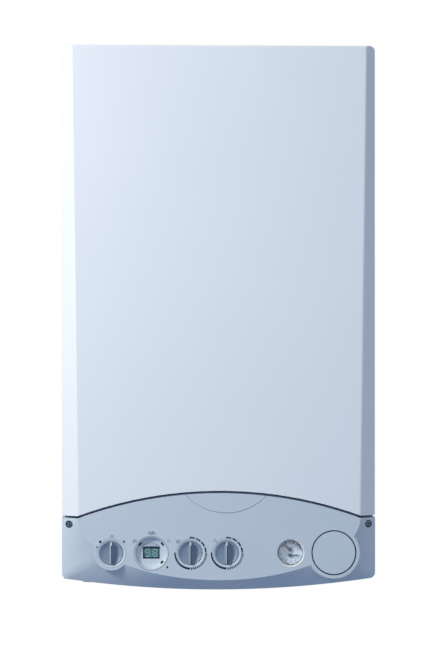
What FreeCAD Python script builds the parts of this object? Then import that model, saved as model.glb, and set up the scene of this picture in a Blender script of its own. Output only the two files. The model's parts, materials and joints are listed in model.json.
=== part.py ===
import FreeCAD
import Part
import math
import os

Vec = FreeCAD.Vector

# A wall-hung gas boiler, in millimetres.
# x runs right as seen from the front, depth runs out from the wall (y is minus depth),
# and heights start at the fascia's lowest edge.

# Case
CASE_WIDTH = 440.0
CASE_HEIGHT = 763.0
CASE_DEPTH = 345.0
USUAL_CASE = (440.0, 763.0, 345.0)
SHEET = 1.2
CASE_CORNER = 7.0
PANEL_SEAM = 1.0
FIT = 0.3
RUNNING_FIT = 0.05
OVERRUN = 5.0

# Share by which the works and controls shrink with a smaller case
CASE_SIZES = (CASE_WIDTH, CASE_HEIGHT, CASE_DEPTH)
WORKS_SHARE = min(size / usual for size, usual in zip(CASE_SIZES, USUAL_CASE))

# Front cover and the gap between it and the fascia
COVER_DEPTH = 54.5
BEVEL_TOP = 13.0
BEVEL_BOTTOM = 22.5
COVER_BEND = 6.0
COVER_TOP_BEND = 3.0
COVER_RETURN = 12.0
SIDE_GAP_HEIGHT = 103.0
ARCH_RISE = 35.0
PANEL_GAP = 3.2

# Top, side and back panels
SEAM_FLANGE = 13.0
TOP_SKIRT = 14.0
TOP_FLANGE = 18.0
STUD_RADIUS = 3.0
STUD_LENGTH = 14.0
STUD_SPACING = 280.0
WALL_GAP = 14.0
BACK_SHEET = 1.5
BACK_RIB_WIDTH = 14.0
BACK_RIB_RISE = 1.5
BACK_RIB_SPACING = 300.0 * WORKS_SHARE
PANEL_REAR_GAP = 1.0

# Wall bracket and its lower rubber buffers
BRACKET_DROP = 48.0
BRACKET_WIDTH = 300.0
BRACKET_HEIGHT = 44.0
BRACKET_SHEET = 3.0
BRACKET_CORNER = 6.0
BOLT_SPACING = 240.0
BOLT_HOLE_RADIUS = 4.5
HOOK_SPACING = 180.0
HOOK_WIDTH = 40.0
HOOK_LIP = 14.0
HOOK_ROOM = 2.0
BUFFER_RADIUS = 12.0
BUFFER_RIB_GAP = 1.0
BUFFER_HEIGHT = 45.0

# Bottom tray, hinge arms and the panel's hinge
TRAY_SHEET = 1.5
TRAY_LIP = 12.0
TRAY_BOX_GAP = 8.0
ARM_SHEET = 2.0
HINGE_SETBACK = 9.5
HINGE_RISE = 0.5
HINGE_EYE_RADIUS = 5.0
HINGE_PIN_RADIUS = 3.0
HINGE_PIN_HEAD = 5.0
HINGE_PIN_HEAD_LENGTH = 1.5
EAR_WIDTH = 4.0
EAR_INSET = 22.0

# Fascia moulding
FASCIA_WALL = 3.0
BELLY_RISE = 16.5
FASCIA_CORNER = 8.5
FACET_RIM_HEIGHT = 15.0
SIDE_TURN_DEG = 33.0
CORNER_TURN_DEG = 39.0
CONTROL_HEIGHT = 53.0
SELECTOR_X = -150.7 * WORKS_SHARE
DISPLAY_X = -94.9 * WORKS_SHARE
HEATING_X = -40.3 * WORKS_SHARE
HOT_WATER_X = 10.5 * WORKS_SHARE
GAUGE_X = 99.5 * WORKS_SHARE
CLOCK_X = 160.1 * WORKS_SHARE
SELECTOR_BOSS_RADIUS = 24.1 * WORKS_SHARE
CLOCK_BOSS_RADIUS = 36.1 * WORKS_SHARE
SCREW_INSET = 10.3
SCREW_DROP = 10.4
SCREW_WELL_RADIUS = 5.2
SCREW_WELL_WALL = 1.8
SCREW_SEAT_DROP = 19.0
BADGE_X = 10.0 * WORKS_SHARE
BADGE_HALF_CHORD = 56.0 * WORKS_SHARE
BADGE_DROP = 27.2 * WORKS_SHARE
BADGE_THICKNESS = 1.4
BADGE_GROOVE = 0.8

# Knobs and the rotary controls behind them
KNOB_RADIUS = 17.7 * WORKS_SHARE
KNOB_RECESS = 6.0
KNOB_RECESS_MOUTH = 20.6 * WORKS_SHARE
KNOB_RECESS_RADIUS = 18.1 * WORKS_SHARE
KNOB_COUNTERSINK = 1.6
KNOB_FLOOR_GAP = 0.5
KNOB_FACE_DROP = 0.8
KNOB_EDGE = 1.5
BLADE_RISE = 5.2
BLADE_BASE = 7.6 * WORKS_SHARE
BLADE_CREST = 2.8 * WORKS_SHARE
SHAFT_RADIUS = 2.0
SHAFT_HOLE_RADIUS = 3.0
SHAFT_DEPTH_IN_KNOB = 6.0
CONTROL_BODY_RADIUS = 11.0
CONTROL_BUSH_RADIUS = 4.5
CONTROL_BUSH_LENGTH = 2.5

# Display dish, its key and its indicators
DISH_RADIUS = 23.9 * WORKS_SHARE
DISH_RIM = 1.4
DISH_DEPTH = 7.0
DISH_FLOOR_RADIUS = 14.6 * WORKS_SHARE
DISH_STEPS = 6
DISH_WALL = 2.5
DISH_FLANGE = 0.9
LCD_WIDTH = 22.7 * WORKS_SHARE
LCD_HEIGHT = 15.9 * WORKS_SHARE
LCD_MARGIN = 3.0
KEY_WIDTH = 20.6 * WORKS_SHARE
KEY_HEIGHT = 6.0 * WORKS_SHARE
KEY_GABLE = 5.0 * WORKS_SHARE
KEY_RISE = 12.2 * WORKS_SHARE
KEY_FRONT_DROP = 4.6
KEY_TRAVEL = 1.2
LIGHT_LENGTH = 4.4 * WORKS_SHARE
LIGHT_WIDTH = 2.0 * WORKS_SHARE
LIGHT_CIRCLE = 19.9 * WORKS_SHARE
LIGHT_FRONT_DROP = 4.2
LIGHT_ANGLES_DEG = (141.0, 39.0, -41.0)

# Thermo-manometer
GAUGE_RADIUS = 18.0 * WORKS_SHARE
GAUGE_CHAMFER = 1.5
GAUGE_WALL = 1.8
GAUGE_LENGTH = 34.0
GAUGE_FLOOR = 2.0
LENS_THICKNESS = 1.6
LENS_SPACE = 8.0
DIAL_THICKNESS = 1.0
DIAL_LEDGE = 2.0
POINTER_LENGTH = 11.6 * WORKS_SHARE
POINTER_TAIL = 3.0 * WORKS_SHARE
POINTER_WIDTH = 1.5
POINTER_THICKNESS = 0.6
POINTER_LIFT = 1.5
POINTER_HUB_RADIUS = 2.7 * WORKS_SHARE
POINTER_PIN_RADIUS = 0.8
UPPER_HUB_RISE = 3.6 * WORKS_SHARE
LOWER_HUB_DROP = 4.2 * WORKS_SHARE
UPPER_POINTER_DEG = 142.0
LOWER_POINTER_DEG = 0.0

# Round blank over the timer's place
CLOCK_RADIUS = 30.5 * WORKS_SHARE
CLOCK_GAP = 0.9
CLOCK_THICKNESS = 4.0
CLOCK_LEDGE = 4.0
CLOCK_LEDGE_THICKNESS = 3.0
CLOCK_CROWN = 0.8
CLOCK_CLIP_LENGTH = 7.0

# Panel screws
SCREW_HEAD_RADIUS = 4.5
SCREW_HEAD_HEIGHT = 3.0
SCREW_RADIUS = 2.1
SCREW_HOLE_RADIUS = 2.5
SCREW_FLANGE_HOLE = 3.4
SCREW_TIP_REACH = 5.0

# Control box and its board
BOX_DEPTH = 50.0 * WORKS_SHARE
BOX_WALL = 2.2
BOX_SIDE_MARGIN = 24.0
BOX_BOTTOM = 24.0
BOX_TOP_MARGIN = 6.0
BOX_CORNER = 6.0
BOX_PLATE = 2.0
BOARD_THICKNESS = 1.6
BOARD_SETBACK = 23.0
BOARD_LEFT = -190.0 * WORKS_SHARE
BOARD_RIGHT = 74.0 * WORKS_SHARE
BOARD_BOTTOM = 24.0
BOARD_TOP_MARGIN = 6.4
POST_RADIUS = 3.5
POST_INSET = 6.0
TRANSFORMER_X = -150.0 * WORKS_SHARE
TRANSFORMER_WIDTH = 44.0 * WORKS_SHARE
TRANSFORMER_HEIGHT = 36.0 * WORKS_SHARE
TRANSFORMER_LENGTH = 30.0
RELAY_WIDTH = 19.0 * WORKS_SHARE
RELAY_HEIGHT = 15.0 * WORKS_SHARE
RELAY_LENGTH = 16.0
RELAY_STEP = 26.0 * WORKS_SHARE
RELAY_FIRST_X = -100.0 * WORKS_SHARE
RELAY_COUNT = 5
SWITCH_HEIGHT = 2.3
SWITCH_SIZE = 6.0
KEY_SWITCH_GAP = 0.3
GLAND_X = 120.0 * WORKS_SHARE
GLAND_RADIUS = 9.0
GLAND_LENGTH = 6.0
GLAND_BORE = 4.0

# Condensing heat exchanger, burner and door
EXCHANGER_DROP = 313.0 * WORKS_SHARE
COIL_RADIUS = 88.0 * WORKS_SHARE
COIL_TUBE_RADIUS = 8.0 * WORKS_SHARE
COIL_TURNS = 6
COIL_PITCH = 22.0 * WORKS_SHARE
COIL_REAR_GAP = 0.5
COIL_ROOM = 0.7
EXCHANGER_WALL = 4.0
EXCHANGER_FRONT_SETBACK = 117.0 * WORKS_SHARE
EXCHANGER_STANDOFF = 14.5 * WORKS_SHARE
EXCHANGER_BOSS_RADIUS = 60.0 * WORKS_SHARE
EXCHANGER_FLANGE = 8.0
EXCHANGER_FLANGE_LENGTH = 7.0
PORT_X = 70.0 * WORKS_SHARE
PORT_DEPTH = 112.0 * WORKS_SHARE
PORT_RADIUS = 15.0 * WORKS_SHARE
PORT_DROP = 90.0 * WORKS_SHARE
DRAIN_DEPTH = 190.0 * WORKS_SHARE
DRAIN_RADIUS = 12.0 * WORKS_SHARE
DRAIN_LENGTH = 14.0 * WORKS_SHARE
DOOR_THICKNESS = 8.0
DOOR_DISH_RADIUS = 62.0 * WORKS_SHARE
DOOR_DISH_RISE = 4.0
BURNER_RADIUS = 35.0 * WORKS_SHARE
BURNER_WALL = 1.2
BURNER_LENGTH = 140.0 * WORKS_SHARE
BURNER_FLANGE = 12.0 * WORKS_SHARE
BURNER_FLANGE_THICKNESS = 2.0
ELECTRODE_RADIUS = 4.0 * WORKS_SHARE
ELECTRODE_SPACING = 24.0 * WORKS_SHARE
ELECTRODE_HEAD_RADIUS = 8.0 * WORKS_SHARE
ELECTRODE_HEAD_LENGTH = 5.0
ELECTRODE_OUT = 26.0 * WORKS_SHARE
ELECTRODE_IN = 30.0 * WORKS_SHARE

# Flue
FLUE_DEPTH = 120.0 * WORKS_SHARE
FLUE_RADIUS = 30.0
FLUE_WALL = 1.8
FLUE_SPIGOT_WALL = 3.5
FLUE_SPIGOT_TOP = 125.0 * WORKS_SHARE
FLUE_SEAT_DROP = 25.0
FLUE_SEAT_LEDGE = 4.0
FLUE_TOP_DROP = 18.0
COLLAR_BORE = 50.0
COLLAR_WALL = 2.5
COLLAR_RISE = 14.0
COLLAR_LIP = 10.0
COLLAR_FLANGE = 14.0
COLLAR_FLANGE_THICKNESS = 3.0

# Fan, mixture duct and mixer
FAN_DROP = 113.0 * WORKS_SHARE
FAN_TONGUE_RADIUS = 58.0 * WORKS_SHARE
FAN_GROWTH = 8.0 * WORKS_SHARE
FAN_WALL = 4.0
FAN_FRONT_SETBACK = 65.0 * WORKS_SHARE
FAN_LENGTH = 48.0 * WORKS_SHARE
FAN_OUTLET_WIDTH = 50.0 * WORKS_SHARE
FAN_INLET_RADIUS = 24.0 * WORKS_SHARE
FAN_MOTOR_RADIUS = 40.0 * WORKS_SHARE
FAN_MOTOR_LENGTH = 32.0 * WORKS_SHARE
FAN_MOTOR_RIBS = 4
FAN_MOTOR_RIB_DEPTH = 2.5
FAN_SHAFT_RADIUS = 4.0
FAN_SHAFT_ROOM = 2.0
FAN_SHAFT_REACH = 20.0 * WORKS_SHARE
IMPELLER_RADIUS = 49.0 * WORKS_SHARE
IMPELLER_EYE = 26.0 * WORKS_SHARE
IMPELLER_WIDTH = 30.0 * WORKS_SHARE
IMPELLER_PLATE = 2.0
IMPELLER_HUB = 10.0 * WORKS_SHARE
IMPELLER_BLADES = 11
IMPELLER_BLADE = 1.6
IMPELLER_LAG_DEG = 38.0
IMPELLER_BOW = 3.0 * WORKS_SHARE
DUCT_WALL = 3.0
DUCT_INLET_RADIUS = 18.0 * WORKS_SHARE
MIXER_RADIUS = 32.0 * WORKS_SHARE
MIXER_LENGTH = 52.0 * WORKS_SHARE
MIXER_THROAT = 16.0 * WORKS_SHARE
MIXER_MOUTH = 27.0 * WORKS_SHARE
MIXER_PORT_RADIUS = 11.0 * WORKS_SHARE
MIXER_PORT_REACH = 40.0 * WORKS_SHARE
MIXER_PORT_DEPTH = 25.0 * WORKS_SHARE

# Gas line
GAS_PIPE_RADIUS = 9.0
GAS_MIX_RADIUS = 7.0
PIPE_WALL = 1.0
PIPE_BEND = 18.0
VALVE_X = 160.0 * WORKS_SHARE
VALVE_WIDTH = 64.0 * WORKS_SHARE
VALVE_DEPTH = 68.0 * WORKS_SHARE
VALVE_HEIGHT = 95.0 * WORKS_SHARE
VALVE_DROP = 463.0 * WORKS_SHARE
VALVE_NECK_RADIUS = 13.0 * WORKS_SHARE
VALVE_NECK = 8.0 * WORKS_SHARE
VALVE_CORNER = 5.0 * WORKS_SHARE
VALVE_COIL_RADIUS = 16.0 * WORKS_SHARE
VALVE_COIL_LENGTH = 36.0 * WORKS_SHARE
VALVE_COIL_SPACING = 44.0 * WORKS_SHARE
GAS_CROSS_DROP = 38.0 * WORKS_SHARE

# Water connections below the tray
CONNECTION_DEPTH = 62.0 * WORKS_SHARE
CONNECTION_STEP = 65.0 * WORKS_SHARE
CONNECTION_DROP = 18.0
TAIL_RADIUS = 11.0
TAP_PIPE_RADIUS = 7.5
TRAY_HOLE_GAP = 0.6
LOCKNUT_MARGIN = 4.0
LOCKNUT_HEIGHT = 6.0
LOCKNUT_SIDES = 6

# Manifolds, plate exchanger and diverter
MANIFOLD_INNER_X = 95.0 * WORKS_SHARE
MANIFOLD_WIDTH = 70.0 * WORKS_SHARE
MANIFOLD_REAR = 40.0 * WORKS_SHARE
MANIFOLD_LENGTH = 90.0 * WORKS_SHARE
MANIFOLD_BOTTOM = 40.0 * WORKS_SHARE
MANIFOLD_HEIGHT = 80.0 * WORKS_SHARE
MANIFOLD_CORNER = 8.0 * WORKS_SHARE
MANIFOLD_RIB = 3.0
MANIFOLD_RIB_COUNT = 3
TAP_PIPE_LEVEL = 85.0 * WORKS_SHARE
PLATE_REAR = 76.0 * WORKS_SHARE
PLATE_PITCH = 4.0 * WORKS_SHARE
PLATE_COUNT = 12
PLATE_BOTTOM = 50.0 * WORKS_SHARE
PLATE_HEIGHT = 66.0 * WORKS_SHARE
PLATE_STEP = 1.6
DIVERTER_RADIUS = 24.0 * WORKS_SHARE
DIVERTER_LENGTH = 40.0 * WORKS_SHARE
DIVERTER_LEVEL = 80.0 * WORKS_SHARE
DIVERTER_PLUG = 10.0 * WORKS_SHARE

# Pump
PUMP_LEVEL = 185.0 * WORKS_SHARE
PUMP_VOLUTE_RADIUS = 50.0 * WORKS_SHARE
PUMP_VOLUTE_REAR = 88.0 * WORKS_SHARE
PUMP_VOLUTE_LENGTH = 48.0 * WORKS_SHARE
PUMP_NECK_RADIUS = 15.0 * WORKS_SHARE
PUMP_NECK_TOP = 55.0 * WORKS_SHARE
PUMP_MOTOR_RADIUS = 44.0 * WORKS_SHARE
PUMP_FRONT_GAP = 30.0 * WORKS_SHARE
PUMP_CAP_RADIUS = 14.0 * WORKS_SHARE
PUMP_CAP_LENGTH = 4.0
PUMP_FIN = 2.0
PUMP_FIN_COUNT = 6

# Safety relief valve
RELIEF_LEVEL = 72.0 * WORKS_SHARE
RELIEF_RADIUS = 13.0 * WORKS_SHARE
RELIEF_LENGTH = 24.0 * WORKS_SHARE
RELIEF_SPINDLE_RADIUS = 4.0
RELIEF_SPINDLE_LENGTH = 12.0 * WORKS_SHARE
RELIEF_KNOB_RADIUS = 16.0 * WORKS_SHARE
RELIEF_KNOB_LENGTH = 18.0 * WORKS_SHARE
RELIEF_KNOB_GAP = 0.5
RELIEF_FLUTES = 8
RELIEF_FLUTE_RADIUS = 3.0 * WORKS_SHARE
RELIEF_DISCHARGE_DROP = 10.0

# Expansion vessel along the left side
VESSEL_THICKNESS = 66.0 * WORKS_SHARE
VESSEL_SIDE_GAP = 9.0 * WORKS_SHARE
VESSEL_SEAM = 6.5 * WORKS_SHARE
VESSEL_SEAM_THICKNESS = 5.0
VESSEL_LENGTH = 222.0 * WORKS_SHARE
VESSEL_TOP_DROP = 73.0 * WORKS_SHARE
VESSEL_HOSE_GAP = 10.0 * WORKS_SHARE
VESSEL_CORNER = 22.0 * WORKS_SHARE
VESSEL_WALL = 1.5
VESSEL_PORT_RADIUS = 8.0
VESSEL_PORT_BORE = 3.0
VESSEL_PORT_RISE = 14.0

# Condensate trap and hose
TRAP_INSET = 36.0 * WORKS_SHARE
TRAP_SETBACK = 40.5 * WORKS_SHARE
TRAP_RADIUS = 22.0 * WORKS_SHARE
TRAP_CUP_RADIUS = 27.0 * WORKS_SHARE
TRAP_CUP_HEIGHT = 70.0 * WORKS_SHARE
TRAP_HEIGHT = 205.0 * WORKS_SHARE
TRAP_NECK_RADIUS = 12.0
TRAP_NECK = 10.0 * WORKS_SHARE
TRAP_OUTLET_RADIUS = 10.75
TRAP_OUTLET_DROP = 6.0
HOSE_RADIUS = 9.0
HOSE_WALL = 2.0
HOSE_LEVEL_DROP = 40.0 * WORKS_SHARE

# Places that follow from the sizes above
HALF = CASE_WIDTH / 2
SIDE_INNER = HALF - SHEET
COVER_BACK = CASE_DEPTH - COVER_DEPTH
PANEL_FRONT = COVER_BACK - PANEL_SEAM
BEVEL_BACK = CASE_DEPTH - BEVEL_BOTTOM
BEVEL_SHARE = math.tan(math.pi / 8)
ARCH_HALF = HALF - BEVEL_BOTTOM
ARCH_RADIUS = (ARCH_HALF ** 2 + ARCH_RISE ** 2) / (2 * ARCH_RISE)
ARCH_CENTRE = SIDE_GAP_HEIGHT + ARCH_RISE - ARCH_RADIUS
BELLY_RADIUS = (HALF ** 2 + BELLY_RISE ** 2) / (2 * BELLY_RISE)
BOLT_HEIGHT = CASE_HEIGHT - BRACKET_DROP
BUFFER_SPACING = BACK_RIB_SPACING + BACK_RIB_WIDTH + 2 * (BUFFER_RADIUS + BUFFER_RIB_GAP)
INSIDE_REAR = WALL_GAP + BACK_SHEET
TRAY_TOP = BELLY_RISE + TRAY_SHEET
HINGE_DEPTH = COVER_BACK - HINGE_SETBACK
HINGE_HEIGHT = BELLY_RISE + HINGE_RISE
BOX_REAR = COVER_BACK - BOX_DEPTH
BOX_HALF = HALF - BOX_SIDE_MARGIN
BOX_TOP = SIDE_GAP_HEIGHT - PANEL_GAP / 2 - FASCIA_WALL - BOX_TOP_MARGIN
FACET_DROP = SIDE_GAP_HEIGHT - FACET_RIM_HEIGHT
BOARD_TOP = BOX_TOP - BOARD_TOP_MARGIN
SCREW_X = HALF - SCREW_INSET
SCREW_HEIGHT = SIDE_GAP_HEIGHT - SCREW_DROP
SCREW_SEAT = CASE_DEPTH - SCREW_SEAT_DROP
FASCIA_INNER = CASE_DEPTH - FASCIA_WALL
KNOB_FLOOR = CASE_DEPTH - KNOB_RECESS
KNOB_FLOOR_BACK = KNOB_FLOOR - FASCIA_WALL
KNOB_FACE = CASE_DEPTH - KNOB_FACE_DROP
BOARD_FRONT = CASE_DEPTH - BOARD_SETBACK
BOARD_BACK = BOARD_FRONT - BOARD_THICKNESS
DISH_FLOOR = CASE_DEPTH - DISH_DEPTH
DISH_FLOOR_BACK = DISH_FLOOR - DISH_WALL
DIAL_FRONT = FASCIA_INNER - LENS_THICKNESS - LENS_SPACE
CLOCK_SEAT = CASE_DEPTH - CLOCK_THICKNESS
TRAY_FRONT = BOX_REAR - TRAY_BOX_GAP
TRAP_X = TRAP_INSET - HALF
TRAP_DEPTH = TRAY_FRONT - TRAP_SETBACK
EXCHANGER_LEVEL = CASE_HEIGHT - EXCHANGER_DROP
EXCHANGER_BORE = COIL_RADIUS + COIL_TUBE_RADIUS + COIL_ROOM
EXCHANGER_RADIUS = EXCHANGER_BORE + EXCHANGER_WALL
EXCHANGER_REAR = INSIDE_REAR + EXCHANGER_STANDOFF
EXCHANGER_FRONT = CASE_DEPTH - EXCHANGER_FRONT_SETBACK
DOOR_FRONT = EXCHANGER_FRONT + DOOR_THICKNESS
FAN_LEVEL = CASE_HEIGHT - FAN_DROP
FAN_FRONT = CASE_DEPTH - FAN_FRONT_SETBACK
FAN_REAR = FAN_FRONT - FAN_LENGTH
FAN_X = FAN_TONGUE_RADIUS + 3 * FAN_GROWTH - FAN_OUTLET_WIDTH / 2
FAN_OUTLET_LEVEL = FAN_LEVEL - FAN_TONGUE_RADIUS - 2 * FAN_GROWTH
FLUE_SPIGOT_LEVEL = EXCHANGER_LEVEL + FLUE_SPIGOT_TOP
FLUE_SEAT = FLUE_SPIGOT_LEVEL - FLUE_SEAT_DROP
FLUE_TOP = CASE_HEIGHT - FLUE_TOP_DROP
PORT_LEVEL = EXCHANGER_LEVEL - PORT_DROP
DRAIN_LEVEL = EXCHANGER_LEVEL - EXCHANGER_RADIUS - DRAIN_LENGTH
VALVE_BOTTOM = CASE_HEIGHT - VALVE_DROP
MANIFOLD_TOP = MANIFOLD_BOTTOM + MANIFOLD_HEIGHT
MANIFOLD_FRONT = MANIFOLD_REAR + MANIFOLD_LENGTH
HEATING_X_PIPE = 2 * CONNECTION_STEP
PUMP_TOP = PUMP_LEVEL + PUMP_NECK_TOP
PUMP_VOLUTE_FRONT = PUMP_VOLUTE_REAR + PUMP_VOLUTE_LENGTH
PUMP_FRONT = BOX_REAR - PUMP_FRONT_GAP
RELIEF_FRONT = MANIFOLD_FRONT + RELIEF_LENGTH
TRAP_TOP = TRAY_TOP + TRAP_HEIGHT
HOSE_LEVEL = DRAIN_LEVEL - HOSE_LEVEL_DROP

FRONT = Vec(0, -1, 0)
UP = Vec(0, 0, 1)
DOWN = Vec(0, 0, -1)
RIGHT = Vec(1, 0, 0)
LEFT = Vec(-1, 0, 0)
FULL_TURN_DEG = 360.0
PARALLEL = 1e-6
HALF_SHARE = 0.5


def spot(x, depth, z):
    return Vec(x, -depth, z)


def slab(xs, depths, zs):
    """A box from low and high pairs."""
    corner = spot(xs[0], depths[1], zs[0])
    return Part.makeBox(xs[1] - xs[0], depths[1] - depths[0], zs[1] - zs[0], corner)


def rod(start, direction, radius, length):
    return Part.makeCylinder(radius, length, start, direction)


def bored(start, direction, outer, inner, length):
    """A round bar with a hole right through it."""
    hole = rod(start - direction * OVERRUN, direction, inner, length + 2 * OVERRUN)
    return rod(start, direction, outer, length).cut(hole)


def line(first, last):
    return Part.LineSegment(first, last).toShape()


def arc(first, middle, last):
    return Part.Arc(first, middle, last).toShape()


def turned(x, z, outline):
    """Revolves (radius, depth) points about the axis that runs out from the wall."""
    points = [spot(x + radius, depth, z) for radius, depth in outline]
    face = Part.Face(Part.makePolygon(points + points[:1]))
    return face.revolve(spot(x, 0, z), FRONT, FULL_TURN_DEG)


def spun(x, depth, outline):
    """Revolves (radius, height) points about an upright axis."""
    points = [spot(x + radius, depth, z) for radius, z in outline]
    face = Part.Face(Part.makePolygon(points + points[:1]))
    return face.revolve(spot(x, depth, 0), UP, FULL_TURN_DEG)


def extruded(wire, length):
    """A prism from a front-view wire, grown towards the front."""
    return Part.Face(wire).extrude(FRONT * length)


def edges_along(shape, direction):
    straight = [edge for edge in shape.Edges if isinstance(edge.Curve, Part.Line)]
    return [edge for edge in straight if edge.Curve.Direction.cross(direction).Length < PARALLEL]


def softened(shape, radius, direction):
    return shape.makeFillet(radius, edges_along(shape, direction))


def joined(first, others):
    return first.fuse(others).removeSplitter()


def bent_path(points, bend):
    """Straight runs joined by tangent arcs."""
    edges = []
    start = points[0]
    for before, corner, after in zip(points, points[1:], points[2:]):
        into = (corner - before).normalize()
        out = (after - corner).normalize()
        half_turn = into.getAngle(out) / 2
        reach = bend * math.tan(half_turn)
        middle = corner + (out - into).normalize() * (bend / math.cos(half_turn) - bend)
        edges.append(line(start, corner - into * reach))
        edges.append(arc(corner - into * reach, middle, corner + out * reach))
        start = corner + out * reach
    edges.append(line(start, points[-1]))
    return Part.Wire(edges)


def pipe(points, radius, wall, bend):
    """A bent pipe, bored where its lower end is open to view."""
    path = bent_path(points, bend)
    direction = (points[1] - points[0]).normalize()
    circle = Part.Wire(Part.makeCircle(radius, points[0], direction))
    run = path.makePipe(Part.Face(circle))
    hole = rod(points[0] - direction * OVERRUN, direction, radius - wall, 2 * OVERRUN + radius)
    return run.cut(hole)


def mirrored(shape):
    return shape.mirror(Vec(0, 0, 0), RIGHT)


def bevel_at(z):
    """Width of the cover's side bevel, which grows towards the bottom."""
    share = (CASE_HEIGHT - z) / (CASE_HEIGHT - SIDE_GAP_HEIGHT)
    return BEVEL_TOP + (BEVEL_BOTTOM - BEVEL_TOP) * share


def arch_half(offset):
    level = SIDE_GAP_HEIGHT + offset - ARCH_CENTRE
    return math.sqrt((ARCH_RADIUS + offset) ** 2 - level ** 2)


def arch_edge(depth, offset):
    """The arched line between cover and fascia, moved up by the offset."""
    half = arch_half(offset)
    level = SIDE_GAP_HEIGHT + offset
    crown = spot(0, depth, ARCH_CENTRE + ARCH_RADIUS + offset)
    return arc(spot(-half, depth, level), crown, spot(half, depth, level))


def cover_plan(z, inset):
    """The cover's outline seen from above, at one height."""
    half = HALF - inset
    bevel = bevel_at(z)
    side = BEVEL_BACK - inset * BEVEL_SHARE
    front_half = HALF - bevel - inset * BEVEL_SHARE
    front = BEVEL_BACK + bevel - inset
    back = COVER_BACK + inset
    right = [spot(half, back, z), spot(half, side, z), spot(front_half, front, z)]
    left = [spot(-front_half, front, z), spot(-half, side, z), spot(-half, back, z)]
    points = right + left
    return Part.makePolygon(points + points[:1])


def cover_outline(depth, inset):
    """The cover seen from the front: round top corners and an arched lower edge."""
    half = HALF - inset
    top = CASE_HEIGHT - inset
    bend = max(CASE_CORNER - inset, SHEET)
    give = bend * (1 - math.sqrt(0.5))
    level = SIDE_GAP_HEIGHT + PANEL_GAP / 2 + inset
    foot = arch_half(PANEL_GAP / 2 + inset)
    edges = [
        line(spot(-half, depth, level), spot(-half, depth, top - bend)),
        arc(spot(-half, depth, top - bend), spot(give - half, depth, top - give),
            spot(bend - half, depth, top)),
        line(spot(bend - half, depth, top), spot(half - bend, depth, top)),
        arc(spot(half - bend, depth, top), spot(half - give, depth, top - give),
            spot(half, depth, top - bend)),
        line(spot(half, depth, top - bend), spot(half, depth, level)),
        line(spot(half, depth, level), spot(foot, depth, level)),
        arch_edge(depth, PANEL_GAP / 2 + inset),
        line(spot(-foot, depth, level), spot(-half, depth, level)),
    ]
    return Part.Wire(edges)


def cover_body(inset):
    """The cover's form, shrunk by the inset all round."""
    plans = [cover_plan(SIDE_GAP_HEIGHT, inset), cover_plan(CASE_HEIGHT, inset)]
    form = Part.makeLoft(plans, True, True)
    upright = []
    for edge in form.Edges:
        rise = abs(edge.Vertexes[0].Z - edge.Vertexes[-1].Z)
        if rise > CASE_HEIGHT / 2 and -edge.CenterOfMass.y > COVER_BACK + COVER_RETURN:
            upright.append(edge)
    form = form.makeFillet(COVER_BEND - inset, upright)
    front_view = extruded(cover_outline(COVER_BACK - OVERRUN, inset), COVER_DEPTH + 2 * OVERRUN)
    return form.common(front_view).common(cover_side_view(inset))


def cover_side_view(inset):
    """The cover seen from the side, with its top front edge rounded."""
    bend = COVER_TOP_BEND - inset
    top = CASE_HEIGHT - inset
    front = BEVEL_BACK + BEVEL_TOP - inset
    give = bend * (1 - math.sqrt(0.5))
    half = HALF + OVERRUN
    edges = [
        line(spot(-half, 0, 0), spot(-half, 0, top)),
        line(spot(-half, 0, top), spot(-half, front - bend, top)),
        arc(spot(-half, front - bend, top), spot(-half, front - give, top - give),
            spot(-half, front, top - bend)),
        line(spot(-half, front, top - bend), spot(-half, CASE_DEPTH + OVERRUN, SIDE_GAP_HEIGHT)),
        line(spot(-half, CASE_DEPTH + OVERRUN, SIDE_GAP_HEIGHT), spot(-half, CASE_DEPTH + OVERRUN, 0)),
        line(spot(-half, CASE_DEPTH + OVERRUN, 0), spot(-half, 0, 0)),
    ]
    return Part.Face(Part.Wire(edges)).extrude(RIGHT * 2 * half)


def front_cover():
    shell = cover_body(0).cut(cover_body(SHEET))
    opening = extruded(cover_outline(COVER_BACK - OVERRUN, COVER_RETURN), SHEET + 2 * OVERRUN)
    holes = [cover_stud(x, STUD_RADIUS + FIT) for x in (-STUD_SPACING / 2, STUD_SPACING / 2)]
    return shell.cut([opening] + holes)


def cover_stud(x, radius):
    """A locating stud on the top panel's front flange."""
    level = CASE_HEIGHT - SHEET - COVER_RETURN / 2
    return rod(spot(x, PANEL_FRONT, level), FRONT, radius, STUD_LENGTH)


def top_panel():
    depths = (PANEL_REAR_GAP, PANEL_FRONT)
    level = CASE_HEIGHT - TOP_SKIRT
    outer = slab((-HALF, HALF), depths, (level, CASE_HEIGHT))
    outer_edges = [e for e in edges_along(outer, FRONT) if e.CenterOfMass.z > level]
    outer = outer.makeFillet(CASE_CORNER, outer_edges)
    room = slab((-SIDE_INNER, SIDE_INNER), (-OVERRUN, CASE_DEPTH), (level - TOP_SKIRT, CASE_HEIGHT - SHEET))
    inner_edges = [e for e in edges_along(room, FRONT) if e.CenterOfMass.z > level]
    room = room.makeFillet(CASE_CORNER - SHEET, inner_edges)
    half = SIDE_INNER - CASE_CORNER
    heights = (CASE_HEIGHT - SHEET - TOP_FLANGE, CASE_HEIGHT - SHEET)
    flange = slab((-half, half), (PANEL_FRONT - SHEET, PANEL_FRONT), heights)
    studs = [cover_stud(x, STUD_RADIUS) for x in (-STUD_SPACING / 2, STUD_SPACING / 2)]
    hole_radius = COLLAR_BORE + COLLAR_WALL + FIT
    hole = rod(spot(0, FLUE_DEPTH, level), UP, hole_radius, 2 * TOP_SKIRT)
    return joined(outer.cut(room), [flange] + studs).cut(hole)


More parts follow.
